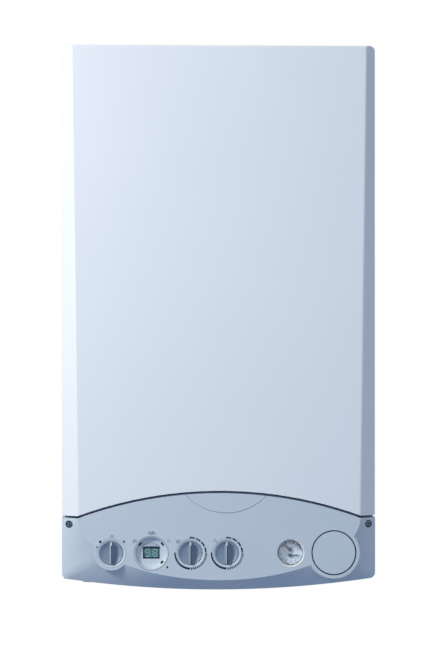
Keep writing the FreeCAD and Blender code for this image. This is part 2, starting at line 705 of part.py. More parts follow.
def right_side_panel():
    top = CASE_HEIGHT - TOP_SKIRT - PANEL_SEAM / 2
    depths = (PANEL_REAR_GAP, PANEL_FRONT)
    side = slab((SIDE_INNER, HALF), depths, (BELLY_RISE, top))
    flange_top = CASE_HEIGHT - SHEET - TOP_FLANGE - PANEL_SEAM
    flange_xs = (SIDE_INNER - SEAM_FLANGE, SIDE_INNER)
    flange = slab(flange_xs, (PANEL_FRONT - SHEET, PANEL_FRONT), (BELLY_RISE, flange_top))
    hole = rod(spot(SCREW_X, PANEL_FRONT - OVERRUN, SCREW_HEIGHT), FRONT, SCREW_FLANGE_HOLE, 2 * OVERRUN)
    return joined(side, [flange]).cut(hole)


def left_side_panel():
    return mirrored(right_side_panel())


def back_plate():
    depths = (WALL_GAP, INSIDE_REAR)
    heights = (HINGE_HEIGHT - HINGE_EYE_RADIUS, CASE_HEIGHT - SHEET)
    plate = softened(slab((-SIDE_INNER, SIDE_INNER), depths, heights), CASE_CORNER, FRONT)
    ribs = []
    slots = []
    for side in (-1, 1):
        x = side * BACK_RIB_SPACING / 2
        xs = (x - BACK_RIB_WIDTH / 2, x + BACK_RIB_WIDTH / 2)
        heights = (TRAY_TOP + TRAY_LIP, BOLT_HEIGHT - BRACKET_HEIGHT)
        ribs.append(slab(xs, (WALL_GAP - BACK_RIB_RISE, WALL_GAP), heights))
        x = side * HOOK_SPACING / 2
        half = HOOK_WIDTH / 2 + HOOK_ROOM
        top_of_slot = hook_level() + BRACKET_SHEET
        heights = (top_of_slot - HOOK_LIP - BRACKET_SHEET - HOOK_ROOM, top_of_slot)
        slots.append(slab((x - half, x + half), (0, CASE_DEPTH), heights))
    return joined(plate, ribs).cut(slots)


def hook_level():
    """Underside of the hooks' bearing legs, on the wall bracket's upper half."""
    return BOLT_HEIGHT + BRACKET_HEIGHT / 2 - BRACKET_SHEET


def wall_bracket():
    half = BRACKET_HEIGHT / 2
    xs = (-BRACKET_WIDTH / 2, BRACKET_WIDTH / 2)
    strip = slab(xs, (0, BRACKET_SHEET), (BOLT_HEIGHT - half, BOLT_HEIGHT + half))
    strip = softened(strip, BRACKET_CORNER, FRONT)
    reach = INSIDE_REAR + HOOK_ROOM + BRACKET_SHEET
    level = hook_level()
    hooks = []
    holes = []
    for side in (-1, 1):
        x = side * HOOK_SPACING / 2
        xs = (x - HOOK_WIDTH / 2, x + HOOK_WIDTH / 2)
        hooks.append(slab(xs, (0, reach), (level, level + BRACKET_SHEET)))
        hooks.append(slab(xs, (reach - BRACKET_SHEET, reach), (level, level + HOOK_LIP)))
        bolt = spot(side * BOLT_SPACING / 2, -OVERRUN, BOLT_HEIGHT)
        holes.append(rod(bolt, FRONT, BOLT_HOLE_RADIUS, BRACKET_SHEET + 2 * OVERRUN))
    return joined(strip, hooks).cut(holes)


def wall_buffers():
    places = (-BUFFER_SPACING / 2, BUFFER_SPACING / 2)
    return Part.Compound([rod(spot(x, 0, BUFFER_HEIGHT), FRONT, BUFFER_RADIUS, WALL_GAP) for x in places])


def tray_holes():
    """Centre and radius of each pipe that goes down through the tray."""
    step = CONNECTION_STEP
    return [
        (-2 * step, CONNECTION_DEPTH, TAIL_RADIUS),
        (-step, CONNECTION_DEPTH, TAP_PIPE_RADIUS),
        (0, CONNECTION_DEPTH, GAS_PIPE_RADIUS),
        (step, CONNECTION_DEPTH, TAP_PIPE_RADIUS),
        (2 * step, CONNECTION_DEPTH, TAIL_RADIUS),
        (HEATING_X_PIPE, MANIFOLD_FRONT + RELIEF_LENGTH / 2, TAP_PIPE_RADIUS),
        (TRAP_X, TRAP_DEPTH, TRAP_OUTLET_RADIUS),
    ]


def locknut(x, depth, radius):
    """A hexagon nut that holds a pipe up against the tray."""
    reach = radius + LOCKNUT_MARGIN
    corners = []
    for step in range(LOCKNUT_SIDES + 1):
        turn = 2 * math.pi * step / LOCKNUT_SIDES
        corners.append(spot(x + reach * math.cos(turn), depth + reach * math.sin(turn), BELLY_RISE))
    nut = Part.Face(Part.makePolygon(corners)).extrude(DOWN * LOCKNUT_HEIGHT)
    return nut.cut(rod(spot(x, depth, 0), UP, radius, 2 * BELLY_RISE))


def bottom_tray():
    half = SIDE_INNER - ARM_SHEET
    floor = slab((-half, half), (INSIDE_REAR, TRAY_FRONT), (BELLY_RISE, TRAY_TOP))
    lip = slab((-half, half), (TRAY_FRONT - TRAY_SHEET, TRAY_FRONT), (BELLY_RISE, TRAY_TOP + TRAY_LIP))
    holes = []
    for x, depth, radius in tray_holes():
        start = spot(x, depth, BELLY_RISE - OVERRUN)
        holes.append(rod(start, UP, radius + TRAY_HOLE_GAP, TRAY_SHEET + 2 * OVERRUN))
    return joined(floor, [lip]).cut(holes)


def hinge_arm():
    xs = (SIDE_INNER - ARM_SHEET, SIDE_INNER)
    heights = (HINGE_HEIGHT - HINGE_EYE_RADIUS, HINGE_HEIGHT + HINGE_EYE_RADIUS)
    strip = slab(xs, (INSIDE_REAR, HINGE_DEPTH), heights)
    start = spot(xs[0], HINGE_DEPTH, HINGE_HEIGHT)
    eye = rod(start, RIGHT, HINGE_EYE_RADIUS, ARM_SHEET)
    hole = rod(start - RIGHT * OVERRUN, RIGHT, HINGE_PIN_RADIUS, ARM_SHEET + 2 * OVERRUN)
    return joined(strip, [eye]).cut(hole)


def hinge_arms():
    right = hinge_arm()
    return Part.Compound([right, mirrored(right)])


def ear_inner():
    return HALF - EAR_INSET - EAR_WIDTH


def hinge_pins():
    inner = ear_inner()
    pin = rod(spot(inner, HINGE_DEPTH, HINGE_HEIGHT), RIGHT, HINGE_PIN_RADIUS, SIDE_INNER - inner)
    head_start = spot(SIDE_INNER - ARM_SHEET - HINGE_PIN_HEAD_LENGTH, HINGE_DEPTH, HINGE_HEIGHT)
    head = rod(head_start, RIGHT, HINGE_PIN_HEAD, HINGE_PIN_HEAD_LENGTH)
    right = joined(pin, [head])
    return Part.Compound([right, mirrored(right)])


def belly_low(inset, half):
    return BELLY_RADIUS - math.sqrt((BELLY_RADIUS - inset) ** 2 - half ** 2)


def belly_corner(depth, inset):
    """The rounded lower right corner: its start on the side, its middle and its end on the belly."""
    half = HALF - inset
    bend = FASCIA_CORNER - inset
    centre_z = BELLY_RADIUS - math.sqrt((BELLY_RADIUS - inset - bend) ** 2 - (half - bend) ** 2)
    centre = spot(half - bend, depth, centre_z)
    start = spot(half, depth, centre_z)
    outward = (centre - spot(0, depth, BELLY_RADIUS)).normalize()
    end = centre + outward * bend
    middle = centre + (outward + RIGHT).normalize() * bend
    return start, middle, end


def flipped(point):
    return Vec(-point.x, point.y, point.z)


def belly_edges(depth, inset):
    """The fascia's lower edge from the left side round to the right side, as four edges."""
    start, middle, end = belly_corner(depth, inset)
    low = spot(0, depth, inset)
    quarter = end.x / 2
    between = spot(quarter, depth, belly_low(inset, quarter))
    return [
        arc(flipped(start), flipped(middle), flipped(end)),
        arc(flipped(end), flipped(between), low),
        arc(low, between, end),
        arc(end, middle, start),
    ]


def fascia_outline(depth, inset):
    """The fascia seen from the front: arched on top, bellied below."""
    half = HALF - inset
    offset = -PANEL_GAP / 2 - inset
    level = SIDE_GAP_HEIGHT + offset
    foot = arch_half(offset)
    corner = belly_corner(depth, inset)[0]
    edges = belly_edges(depth, inset) + [
        line(corner, spot(half, depth, level)),
        line(spot(half, depth, level), spot(foot, depth, level)),
        arch_edge(depth, offset),
        line(spot(-foot, depth, level), spot(-half, depth, level)),
        line(spot(-half, depth, level), flipped(corner)),
    ]
    return Part.Wire(Part.__sortEdges__(edges))


def facet_edges(depth, inset):
    """The lower rim of the front facet, half an ellipse in six stretches."""
    half = ARCH_HALF - inset * BEVEL_SHARE
    drop = FACET_DROP - inset * BEVEL_SHARE
    centre = spot(0, depth, SIDE_GAP_HEIGHT)
    ellipse = Part.Ellipse(centre - RIGHT * half, centre - UP * drop, centre)
    turns = [0, math.radians(SIDE_TURN_DEG), math.radians(CORNER_TURN_DEG), math.pi / 2]
    turns += [math.pi - turn for turn in reversed(turns[:-1])]
    return [Part.ArcOfEllipse(ellipse, low, high).toShape() for low, high in zip(turns, turns[1:])]


def bevel_wire(half, depth, rim):
    """Closes a lower rim with upright sides, well above the arch."""
    top = SIDE_GAP_HEIGHT + 2 * ARCH_RISE
    left = spot(-half, depth, SIDE_GAP_HEIGHT)
    right = spot(half, depth, SIDE_GAP_HEIGHT)
    sides = [line(spot(-half, depth, top), left), line(right, spot(half, depth, top))]
    lid = line(spot(half, depth, top), spot(-half, depth, top))
    return Part.Wire([sides[0]] + rim + [sides[1], lid])


def fascia_body(inset):
    """The fascia's form, shrunk by the inset: a facet whose rim slopes back to the outline."""
    front = CASE_DEPTH - inset
    back = BEVEL_BACK - inset * BEVEL_SHARE
    half = HALF - inset
    corner = belly_corner(back, inset)[0]
    side = spot(half, back, SIDE_GAP_HEIGHT)
    rim = [line(flipped(side), flipped(corner))] + belly_edges(back, inset) + [line(corner, side)]
    front_half = ARCH_HALF - inset * BEVEL_SHARE
    wires = [bevel_wire(front_half, front, facet_edges(front, inset)), bevel_wire(half, back, rim)]
    slope = Part.makeLoft(wires, True, True)
    whole = extruded(fascia_outline(COVER_BACK, inset), CASE_DEPTH - COVER_BACK)
    rear = extruded(fascia_outline(COVER_BACK, inset), back - COVER_BACK)
    bosses = []
    for x, radius in ((SELECTOR_X, SELECTOR_BOSS_RADIUS), (CLOCK_X, CLOCK_BOSS_RADIUS)):
        bosses.append(rod(spot(x, COVER_BACK, CONTROL_HEIGHT), FRONT, radius - inset, front - COVER_BACK))
    return slope.common(whole).fuse([rear] + [boss.common(whole) for boss in bosses])


def knob_places():
    return (SELECTOR_X, HEATING_X, HOT_WATER_X)


def screw_places():
    return [spot(side * SCREW_X, SCREW_SEAT, SCREW_HEIGHT) for side in (-1, 1)]


def badge_body(grow, depth):
    """The crescent below the arch, grown on its lower side."""
    half = BADGE_HALF_CHORD + grow
    offset = -PANEL_GAP / 2
    crown = ARCH_CENTRE + ARCH_RADIUS + offset
    low = spot(BADGE_X, depth, crown - BADGE_DROP - grow)
    top = crown + OVERRUN
    left = spot(BADGE_X - half, depth, crown - PANEL_GAP)
    right = spot(BADGE_X + half, depth, crown - PANEL_GAP)
    upper_right = spot(BADGE_X + half, depth, top)
    upper_left = spot(BADGE_X - half, depth, top)
    sides = [line(right, upper_right), line(upper_right, upper_left), line(upper_left, left)]
    wire = Part.Wire([arc(left, low, right)] + sides)
    return extruded(wire, BADGE_THICKNESS).common(extruded(fascia_outline(depth, 0), BADGE_THICKNESS))


def badge_plate():
    return badge_body(0, CASE_DEPTH - BADGE_THICKNESS)


def dish_hole(radius, first, last):
    return rod(spot(DISPLAY_X, first, CONTROL_HEIGHT), FRONT, radius, last - first)


def fascia():
    outer = fascia_body(0)
    inner = fascia_body(FASCIA_WALL)
    mouth_start = COVER_BACK - FASCIA_WALL
    room_mouth = extruded(fascia_outline(mouth_start, FASCIA_WALL), 2 * FASCIA_WALL)
    shell = outer.cut([inner, room_mouth])
    pads = []
    holes = []
    for x in knob_places():
        pad_start = spot(x, KNOB_FLOOR_BACK, CONTROL_HEIGHT)
        pads.append(rod(pad_start, FRONT, KNOB_RECESS_RADIUS + FASCIA_WALL, CASE_DEPTH - KNOB_FLOOR_BACK))
        recess = [(0, KNOB_FLOOR), (KNOB_RECESS_RADIUS, KNOB_FLOOR)]
        recess += [(KNOB_RECESS_RADIUS, CASE_DEPTH - KNOB_COUNTERSINK), (KNOB_RECESS_MOUTH, CASE_DEPTH)]
        recess += [(KNOB_RECESS_MOUTH, CASE_DEPTH + OVERRUN), (0, CASE_DEPTH + OVERRUN)]
        holes.append(turned(x, CONTROL_HEIGHT, recess))
        holes.append(rod(pad_start, FRONT, SHAFT_HOLE_RADIUS, KNOB_RECESS + OVERRUN))
    for seat in screw_places():
        start = seat - FRONT * FASCIA_WALL
        length = CASE_DEPTH - SCREW_SEAT + FASCIA_WALL
        pads.append(rod(start, FRONT, SCREW_WELL_RADIUS + SCREW_WELL_WALL, length))
        holes.append(rod(seat, FRONT, SCREW_WELL_RADIUS, CASE_DEPTH - SCREW_SEAT))
        holes.append(rod(start - FRONT * OVERRUN, FRONT, SCREW_HOLE_RADIUS, FASCIA_WALL + 2 * OVERRUN))
    ledge_back = CLOCK_SEAT - CLOCK_LEDGE_THICKNESS
    ledge_start = spot(CLOCK_X, ledge_back, CONTROL_HEIGHT)
    pads.append(rod(ledge_start, FRONT, CLOCK_BOSS_RADIUS, CASE_DEPTH - ledge_back))
    hole_radius = CLOCK_RADIUS + CLOCK_GAP
    seat_start = spot(CLOCK_X, CLOCK_SEAT, CONTROL_HEIGHT)
    holes.append(rod(seat_start, FRONT, hole_radius, CLOCK_THICKNESS + OVERRUN))
    through = spot(CLOCK_X, ledge_back - OVERRUN, CONTROL_HEIGHT)
    holes.append(rod(through, FRONT, CLOCK_RADIUS - CLOCK_LEDGE, CLOCK_LEDGE_THICKNESS + 2 * OVERRUN))
    holes.append(dish_hole(DISH_RADIUS, FASCIA_INNER - OVERRUN, CASE_DEPTH + OVERRUN))
    mouth = [(0, FASCIA_INNER - OVERRUN), (GAUGE_RADIUS, FASCIA_INNER - OVERRUN)]
    mouth += [(GAUGE_RADIUS, CASE_DEPTH - GAUGE_CHAMFER), (GAUGE_RADIUS + GAUGE_CHAMFER, CASE_DEPTH)]
    mouth += [(GAUGE_RADIUS + GAUGE_CHAMFER, CASE_DEPTH + OVERRUN), (0, CASE_DEPTH + OVERRUN)]
    holes.append(turned(GAUGE_X, CONTROL_HEIGHT, mouth))
    holes.append(badge_body(BADGE_GROOVE, CASE_DEPTH - BADGE_THICKNESS))
    return shell.fuse([pad.common(outer) for pad in pads]).cut(holes).removeSplitter()


def display_bezel():
    rim = DISH_RADIUS - FIT
    mouth = rim - DISH_RIM
    edge = CASE_DEPTH - FIT
    outline = [(0, DISH_FLOOR_BACK), (DISH_FLOOR_RADIUS + DISH_WALL, DISH_FLOOR_BACK)]
    flange = DISH_RADIUS + DISH_FLANGE
    outline += [(rim - DISH_RIM, FASCIA_INNER - DISH_WALL), (flange, FASCIA_INNER - DISH_WALL)]
    outline += [(flange, FASCIA_INNER), (rim, FASCIA_INNER), (rim, CASE_DEPTH)]
    for step in range(DISH_STEPS + 1):
        turn = math.pi / 2 * step / DISH_STEPS
        across = (mouth - DISH_FLOOR_RADIUS) * math.cos(turn)
        outline.append((DISH_FLOOR_RADIUS + across, edge - (edge - DISH_FLOOR) * math.sin(turn)))
    outline.append((0, DISH_FLOOR))
    bowl = turned(DISPLAY_X, CONTROL_HEIGHT, outline)
    holes = [lcd_block(FIT, DISH_FLOOR_BACK - OVERRUN, CASE_DEPTH), key_body(FIT, BOARD_FRONT, CASE_DEPTH)]
    holes += [light_body(angle, FIT) for angle in LIGHT_ANGLES_DEG]
    return bowl.cut(holes)


def lcd_block(grow, back, front):
    xs = (DISPLAY_X - LCD_WIDTH / 2 - grow, DISPLAY_X + LCD_WIDTH / 2 + grow)
    zs = (CONTROL_HEIGHT - LCD_HEIGHT / 2 - grow, CONTROL_HEIGHT + LCD_HEIGHT / 2 + grow)
    return slab(xs, (back, front), zs)


def lcd_module():
    glass = lcd_block(0, BOARD_FRONT, DISH_FLOOR)
    half = LCD_WIDTH / 2 + LCD_MARGIN
    heights = (CONTROL_HEIGHT - LCD_HEIGHT / 2, CONTROL_HEIGHT + LCD_HEIGHT / 2)
    frame = slab((DISPLAY_X - half, DISPLAY_X + half), (BOARD_FRONT, DISH_FLOOR_BACK), heights)
    return joined(glass, [frame])


def key_body(grow, back, front):
    """The key's gabled outline, run between two depths."""
    half = KEY_WIDTH / 2 + grow
    low = CONTROL_HEIGHT + KEY_RISE - KEY_HEIGHT / 2 - grow
    shoulder = CONTROL_HEIGHT + KEY_RISE + KEY_HEIGHT / 2 - KEY_GABLE + grow
    peak = CONTROL_HEIGHT + KEY_RISE + KEY_HEIGHT / 2 + grow
    shape = [(-half, low), (half, low), (half, shoulder), (0, peak), (-half, shoulder), (-half, low)]
    wire = Part.makePolygon([spot(DISPLAY_X + x, back, z) for x, z in shape])
    return extruded(wire, front - back)


def info_button():
    back = BOARD_FRONT + SWITCH_HEIGHT + KEY_SWITCH_GAP + KEY_TRAVEL
    return key_body(0, back, CASE_DEPTH - KEY_FRONT_DROP)


def light_body(angle, grow):
    """A slot-shaped light guide that lies along the dish's rim."""
    turn = math.radians(angle)
    out = Vec(math.cos(turn), 0, math.sin(turn))
    along = Vec(-math.sin(turn), 0, math.cos(turn))
    place = spot(DISPLAY_X, BOARD_FRONT, CONTROL_HEIGHT) + out * LIGHT_CIRCLE
    reach = along * (LIGHT_LENGTH / 2 + grow)
    side = out * (LIGHT_WIDTH / 2 + grow)
    corners = [place - reach - side, place + reach - side, place + reach + side, place - reach + side]
    length = BOARD_SETBACK - LIGHT_FRONT_DROP + grow
    return extruded(Part.makePolygon(corners + corners[:1]), length)


def indicator_lights():
    return Part.Compound([light_body(angle, 0) for angle in LIGHT_ANGLES_DEG])


def gauge_case():
    radius = GAUGE_RADIUS + FIT
    outer = radius + GAUGE_WALL
    back = FASCIA_INNER - GAUGE_LENGTH
    outline = [(0, back), (outer, back), (outer, FASCIA_INNER), (radius, FASCIA_INNER)]
    outline += [(radius, DIAL_FRONT - DIAL_THICKNESS), (radius - DIAL_LEDGE, DIAL_FRONT - DIAL_THICKNESS)]
    outline += [(radius - DIAL_LEDGE, back + GAUGE_FLOOR), (0, back + GAUGE_FLOOR)]
    return turned(GAUGE_X, CONTROL_HEIGHT, outline)


def pointer_hubs():
    return (CONTROL_HEIGHT + UPPER_HUB_RISE, CONTROL_HEIGHT - LOWER_HUB_DROP)


def gauge_dial():
    start = spot(GAUGE_X, DIAL_FRONT - DIAL_THICKNESS, CONTROL_HEIGHT)
    plate = rod(start, FRONT, GAUGE_RADIUS, DIAL_THICKNESS)
    holes = []
    for z in pointer_hubs():
        hole_start = spot(GAUGE_X, DIAL_FRONT - OVERRUN, z)
        holes.append(rod(hole_start, FRONT, POINTER_PIN_RADIUS + RUNNING_FIT, 2 * OVERRUN))
    return plate.cut(holes)


def gauge_lens():
    start = spot(GAUGE_X, FASCIA_INNER - LENS_THICKNESS, CONTROL_HEIGHT)
    return rod(start, FRONT, GAUGE_RADIUS + FIT / 2, LENS_THICKNESS)


def pointer(z, angle):
    """A tapered needle on a round hub, with a pin through the dial."""
    depth = DIAL_FRONT + POINTER_LIFT
    half = POINTER_WIDTH / 2
    shape = [(-POINTER_TAIL, -half), (-POINTER_TAIL, half), (0, half), (POINTER_LENGTH, 0), (0, -half)]
    points = [spot(GAUGE_X + along, depth, z + across) for along, across in shape]
    needle = extruded(Part.makePolygon(points + points[:1]), POINTER_THICKNESS)
    needle = needle.rotate(spot(GAUGE_X, depth, z), FRONT, angle)
    hub = rod(spot(GAUGE_X, depth, z), FRONT, POINTER_HUB_RADIUS, 2 * POINTER_THICKNESS)
    pin_start = DIAL_FRONT - DIAL_THICKNESS - POINTER_TAIL
    pin = rod(spot(GAUGE_X, pin_start, z), FRONT, POINTER_PIN_RADIUS, depth - pin_start)
    return joined(needle, [hub, pin])


def temperature_pointer():
    return pointer(pointer_hubs()[0], UPPER_POINTER_DEG)


def pressure_pointer():
    return pointer(pointer_hubs()[1], LOWER_POINTER_DEG)


def clock_cover():
    clip_outer = CLOCK_RADIUS - CLOCK_LEDGE - FIT
    outline = [(0, CLOCK_SEAT), (clip_outer - CLOCK_LEDGE_THICKNESS, CLOCK_SEAT)]
    outline += [(clip_outer - CLOCK_LEDGE_THICKNESS, CLOCK_SEAT - CLOCK_CLIP_LENGTH)]
    outline += [(clip_outer, CLOCK_SEAT - CLOCK_CLIP_LENGTH), (clip_outer, CLOCK_SEAT)]
    outline += [(CLOCK_RADIUS, CLOCK_SEAT), (CLOCK_RADIUS, CASE_DEPTH - CLOCK_CROWN)]
    outline += [(CLOCK_RADIUS - CLOCK_CROWN, CASE_DEPTH), (0, CASE_DEPTH)]
    return turned(CLOCK_X, CONTROL_HEIGHT, outline)


def panel_screws():
    tip = PANEL_FRONT - SHEET - SCREW_TIP_REACH
    screws = []
    for seat in screw_places():
        head = rod(seat, FRONT, SCREW_HEAD_RADIUS, SCREW_HEAD_HEIGHT)
        shank = rod(spot(seat.x, tip, seat.z), FRONT, SCREW_RADIUS, SCREW_SEAT - tip)
        screws.append(joined(head, [shank]))
    return Part.Compound(screws)


def control_box():
    outer = slab((-BOX_HALF, BOX_HALF), (BOX_REAR, COVER_BACK), (BOX_BOTTOM, BOX_TOP))
    outer = softened(outer, BOX_CORNER, FRONT)
    half = BOX_HALF - BOX_WALL
    room_zs = (BOX_BOTTOM + BOX_WALL, BOX_TOP - BOX_WALL)
    room = slab((-half, half), (BOX_REAR + BOX_WALL, CASE_DEPTH), room_zs)
    room = softened(room, BOX_CORNER - BOX_WALL, FRONT)
    plate = extruded(fascia_outline(COVER_BACK, FASCIA_WALL + FIT), BOX_PLATE)
    ears = []
    holes = []
    inner = ear_inner()
    for side in (-1, 1):
        xs = sorted((side * inner, side * (inner + EAR_WIDTH)))
        start = spot(xs[0], HINGE_DEPTH, HINGE_HEIGHT)
        ears.append(rod(start, RIGHT, HINGE_EYE_RADIUS, EAR_WIDTH))
        heights = (HINGE_HEIGHT, HINGE_HEIGHT + HINGE_EYE_RADIUS)
        ears.append(slab(xs, (HINGE_DEPTH, COVER_BACK), heights))
        root_heights = (heights[1] - HINGE_EYE_RADIUS / 2, heights[1])
        ears.append(slab(xs, (COVER_BACK, COVER_BACK + BOX_PLATE), root_heights))
        bore = rod(start - RIGHT * OVERRUN, RIGHT, HINGE_PIN_RADIUS + RUNNING_FIT, EAR_WIDTH + 2 * OVERRUN)
        holes.append(bore)
    posts = []
    for x in (BOARD_LEFT + POST_INSET, BOARD_RIGHT - POST_INSET):
        for z in (BOARD_BOTTOM + POST_INSET, BOARD_TOP - POST_INSET):
            posts.append(rod(spot(x, BOX_REAR, z), FRONT, POST_RADIUS, BOARD_BACK - BOX_REAR))
    gland_start = spot(GLAND_X, BOX_REAR - OVERRUN, CONTROL_HEIGHT)
    gland_hole = rod(gland_start, FRONT, GLAND_BORE, BOX_WALL + 2 * OVERRUN)
    gland = rod(spot(GLAND_X, BOX_REAR - GLAND_LENGTH, CONTROL_HEIGHT), FRONT, GLAND_RADIUS, GLAND_LENGTH)
    bored_gland = gland.cut(rod(spot(GLAND_X, 0, CONTROL_HEIGHT), FRONT, GLAND_BORE, CASE_DEPTH))
    for seat in screw_places():
        start = spot(seat.x, COVER_BACK - OVERRUN, seat.z)
        holes.append(rod(start, FRONT, SCREW_FLANGE_HOLE, BOX_PLATE + 2 * OVERRUN))
    shell = joined(outer, [plate]).cut(room).cut(gland_hole)
    return joined(shell, ears + posts + [bored_gland]).cut(holes)


def main_board():
    board = slab((BOARD_LEFT, BOARD_RIGHT), (BOARD_BACK, BOARD_FRONT), (BOARD_BOTTOM, BOARD_TOP))
    middle = (BOARD_BOTTOM + BOARD_TOP) / 2
    half = TRANSFORMER_HEIGHT / 2
    xs = (TRANSFORMER_X - TRANSFORMER_WIDTH / 2, TRANSFORMER_X + TRANSFORMER_WIDTH / 2)
    parts = [slab(xs, (BOARD_BACK - TRANSFORMER_LENGTH, BOARD_BACK), (middle - half, middle + half))]
    for step in range(RELAY_COUNT):
        x = RELAY_FIRST_X + step * RELAY_STEP
        heights = (middle - RELAY_HEIGHT / 2, middle + RELAY_HEIGHT / 2)
        parts.append(slab((x, x + RELAY_WIDTH), (BOARD_BACK - RELAY_LENGTH, BOARD_BACK), heights))
    level = CONTROL_HEIGHT + KEY_RISE
    half = SWITCH_SIZE / 2
    xs = (DISPLAY_X - half, DISPLAY_X + half)
    parts.append(slab(xs, (BOARD_FRONT, BOARD_FRONT + SWITCH_HEIGHT), (level - half, level + half)))
    return joined(board, parts)


def rotary_controls():
    controls = []
    for x in knob_places():
        body = rod(spot(x, BOARD_FRONT, CONTROL_HEIGHT), FRONT, CONTROL_BODY_RADIUS,
                   KNOB_FLOOR_BACK - CONTROL_BUSH_LENGTH - BOARD_FRONT)
        bush_start = spot(x, KNOB_FLOOR_BACK - CONTROL_BUSH_LENGTH, CONTROL_HEIGHT)
        bush = rod(bush_start, FRONT, CONTROL_BUSH_RADIUS, CONTROL_BUSH_LENGTH)
        length = KNOB_FLOOR + KNOB_FLOOR_GAP + SHAFT_DEPTH_IN_KNOB - KNOB_FLOOR_BACK
        shaft = rod(spot(x, KNOB_FLOOR_BACK, CONTROL_HEIGHT), FRONT, SHAFT_RADIUS, length)
        controls.append(joined(body, [bush, shaft]))
    return Part.Compound(controls)


def knob(x):
    """A round knob with a tapered blade to grip, bored for its shaft."""
    back = KNOB_FLOOR + KNOB_FLOOR_GAP
    outline = [(0, back), (KNOB_RADIUS, back), (KNOB_RADIUS, KNOB_FACE - KNOB_EDGE)]
    outline += [(KNOB_RADIUS - KNOB_EDGE, KNOB_FACE), (0, KNOB_FACE)]
    disc = turned(x, CONTROL_HEIGHT, outline)
    wires = []
    for width, depth in ((BLADE_BASE, KNOB_FACE - KNOB_EDGE), (BLADE_CREST, KNOB_FACE + BLADE_RISE)):
        half = width / 2
        reach = KNOB_RADIUS + KNOB_EDGE
        corners = [(-half, -reach), (half, -reach), (half, reach), (-half, reach)]
        points = [spot(x + across, depth, CONTROL_HEIGHT + along) for across, along in corners]
        wires.append(Part.makePolygon(points + points[:1]))
    blade = Part.makeLoft(wires, True, True)
    limit = [(0, back), (KNOB_RADIUS, back), (KNOB_RADIUS, KNOB_FACE)]
    limit += [(KNOB_RADIUS - BLADE_CREST, KNOB_FACE + BLADE_RISE), (0, KNOB_FACE + BLADE_RISE)]
    blade = blade.common(turned(x, CONTROL_HEIGHT, limit))
    bore_start = spot(x, back - OVERRUN, CONTROL_HEIGHT)
    bore_length = SHAFT_DEPTH_IN_KNOB + OVERRUN + KNOB_FLOOR_GAP
    bore = rod(bore_start, FRONT, SHAFT_RADIUS + RUNNING_FIT, bore_length)
    return joined(disc, [blade]).cut(bore)


def selector_knob():
    return knob(SELECTOR_X)


def heating_knob():
    return knob(HEATING_X)


def hot_water_knob():
    return knob(HOT_WATER_X)


def exchanger_housing():
    level = EXCHANGER_LEVEL
    flange = EXCHANGER_RADIUS + EXCHANGER_FLANGE
    flange_back = EXCHANGER_FRONT - EXCHANGER_FLANGE_LENGTH
    boss = EXCHANGER_BOSS_RADIUS
    outline = [(0, INSIDE_REAR), (boss, INSIDE_REAR), (boss, EXCHANGER_REAR)]
    outline += [(EXCHANGER_RADIUS, EXCHANGER_REAR), (EXCHANGER_RADIUS, flange_back)]
    outline += [(flange, flange_back), (flange, EXCHANGER_FRONT), (0, EXCHANGER_FRONT)]
    body = turned(0, level, outline)
    room_start = spot(0, EXCHANGER_REAR + EXCHANGER_WALL, level)
    room = rod(room_start, FRONT, EXCHANGER_BORE, EXCHANGER_FRONT)
    spigot_radius = FLUE_RADIUS + FIT + FLUE_SPIGOT_WALL
    spigot = rod(spot(0, FLUE_DEPTH, level), UP, spigot_radius, FLUE_SPIGOT_TOP)
    ports = []
    for x in (-PORT_X, PORT_X):
        ports.append(rod(spot(x, PORT_DEPTH, PORT_LEVEL), UP, PORT_RADIUS, PORT_DROP))
    drain = rod(spot(0, DRAIN_DEPTH, DRAIN_LEVEL), UP, DRAIN_RADIUS, EXCHANGER_RADIUS)
    flue_bore = FLUE_RADIUS - FLUE_SEAT_LEDGE
    flue_hole = rod(spot(0, FLUE_DEPTH, level), UP, flue_bore, FLUE_SPIGOT_TOP + OVERRUN)
    flue_seat = rod(spot(0, FLUE_DEPTH, FLUE_SEAT), UP, FLUE_RADIUS + FIT, FLUE_SEAT_DROP + OVERRUN)
    drain_start = spot(0, DRAIN_DEPTH, DRAIN_LEVEL - OVERRUN)
    drain_hole = rod(drain_start, UP, HOSE_RADIUS - HOSE_WALL, EXCHANGER_RADIUS)
    return joined(body, ports + [spigot, drain]).cut([room, flue_hole, flue_seat, drain_hole])


def flat_tube(centre):
    """Section of the flattened tube: a square with its corners cut."""
    reach = COIL_TUBE_RADIUS
    cut = reach * BEVEL_SHARE
    shape = [(reach, -cut), (reach, cut), (cut, reach), (-cut, reach)]
    shape += [(-x, -y) for x, y in shape]
    corners = [centre + Vec(x, y, 0) for x, y in shape]
    return Part.makePolygon(corners + corners[:1])


def exchanger_coil():
    """One unbroken tube wound round the burner, as tilted half rings."""
    rear = EXCHANGER_REAR + EXCHANGER_WALL + COIL_REAR_GAP + COIL_TUBE_RADIUS
    half_pitch = COIL_PITCH / 2
    halves = []
    for half_turn in range(2 * COIL_TURNS):
        side = -1 if half_turn % 2 else 1
        depth = rear + half_turn * half_pitch
        first = spot(side * COIL_RADIUS, depth, EXCHANGER_LEVEL)
        last = spot(-side * COIL_RADIUS, depth + half_pitch, EXCHANGER_LEVEL)
        section = Part.Face(flat_tube(first))
        axis = (last - first).cross(UP) * -side
        halves.append(section.revolve((first + last) * HALF_SHARE, axis, FULL_TURN_DEG / 2))
    return joined(halves[0], halves[1:])


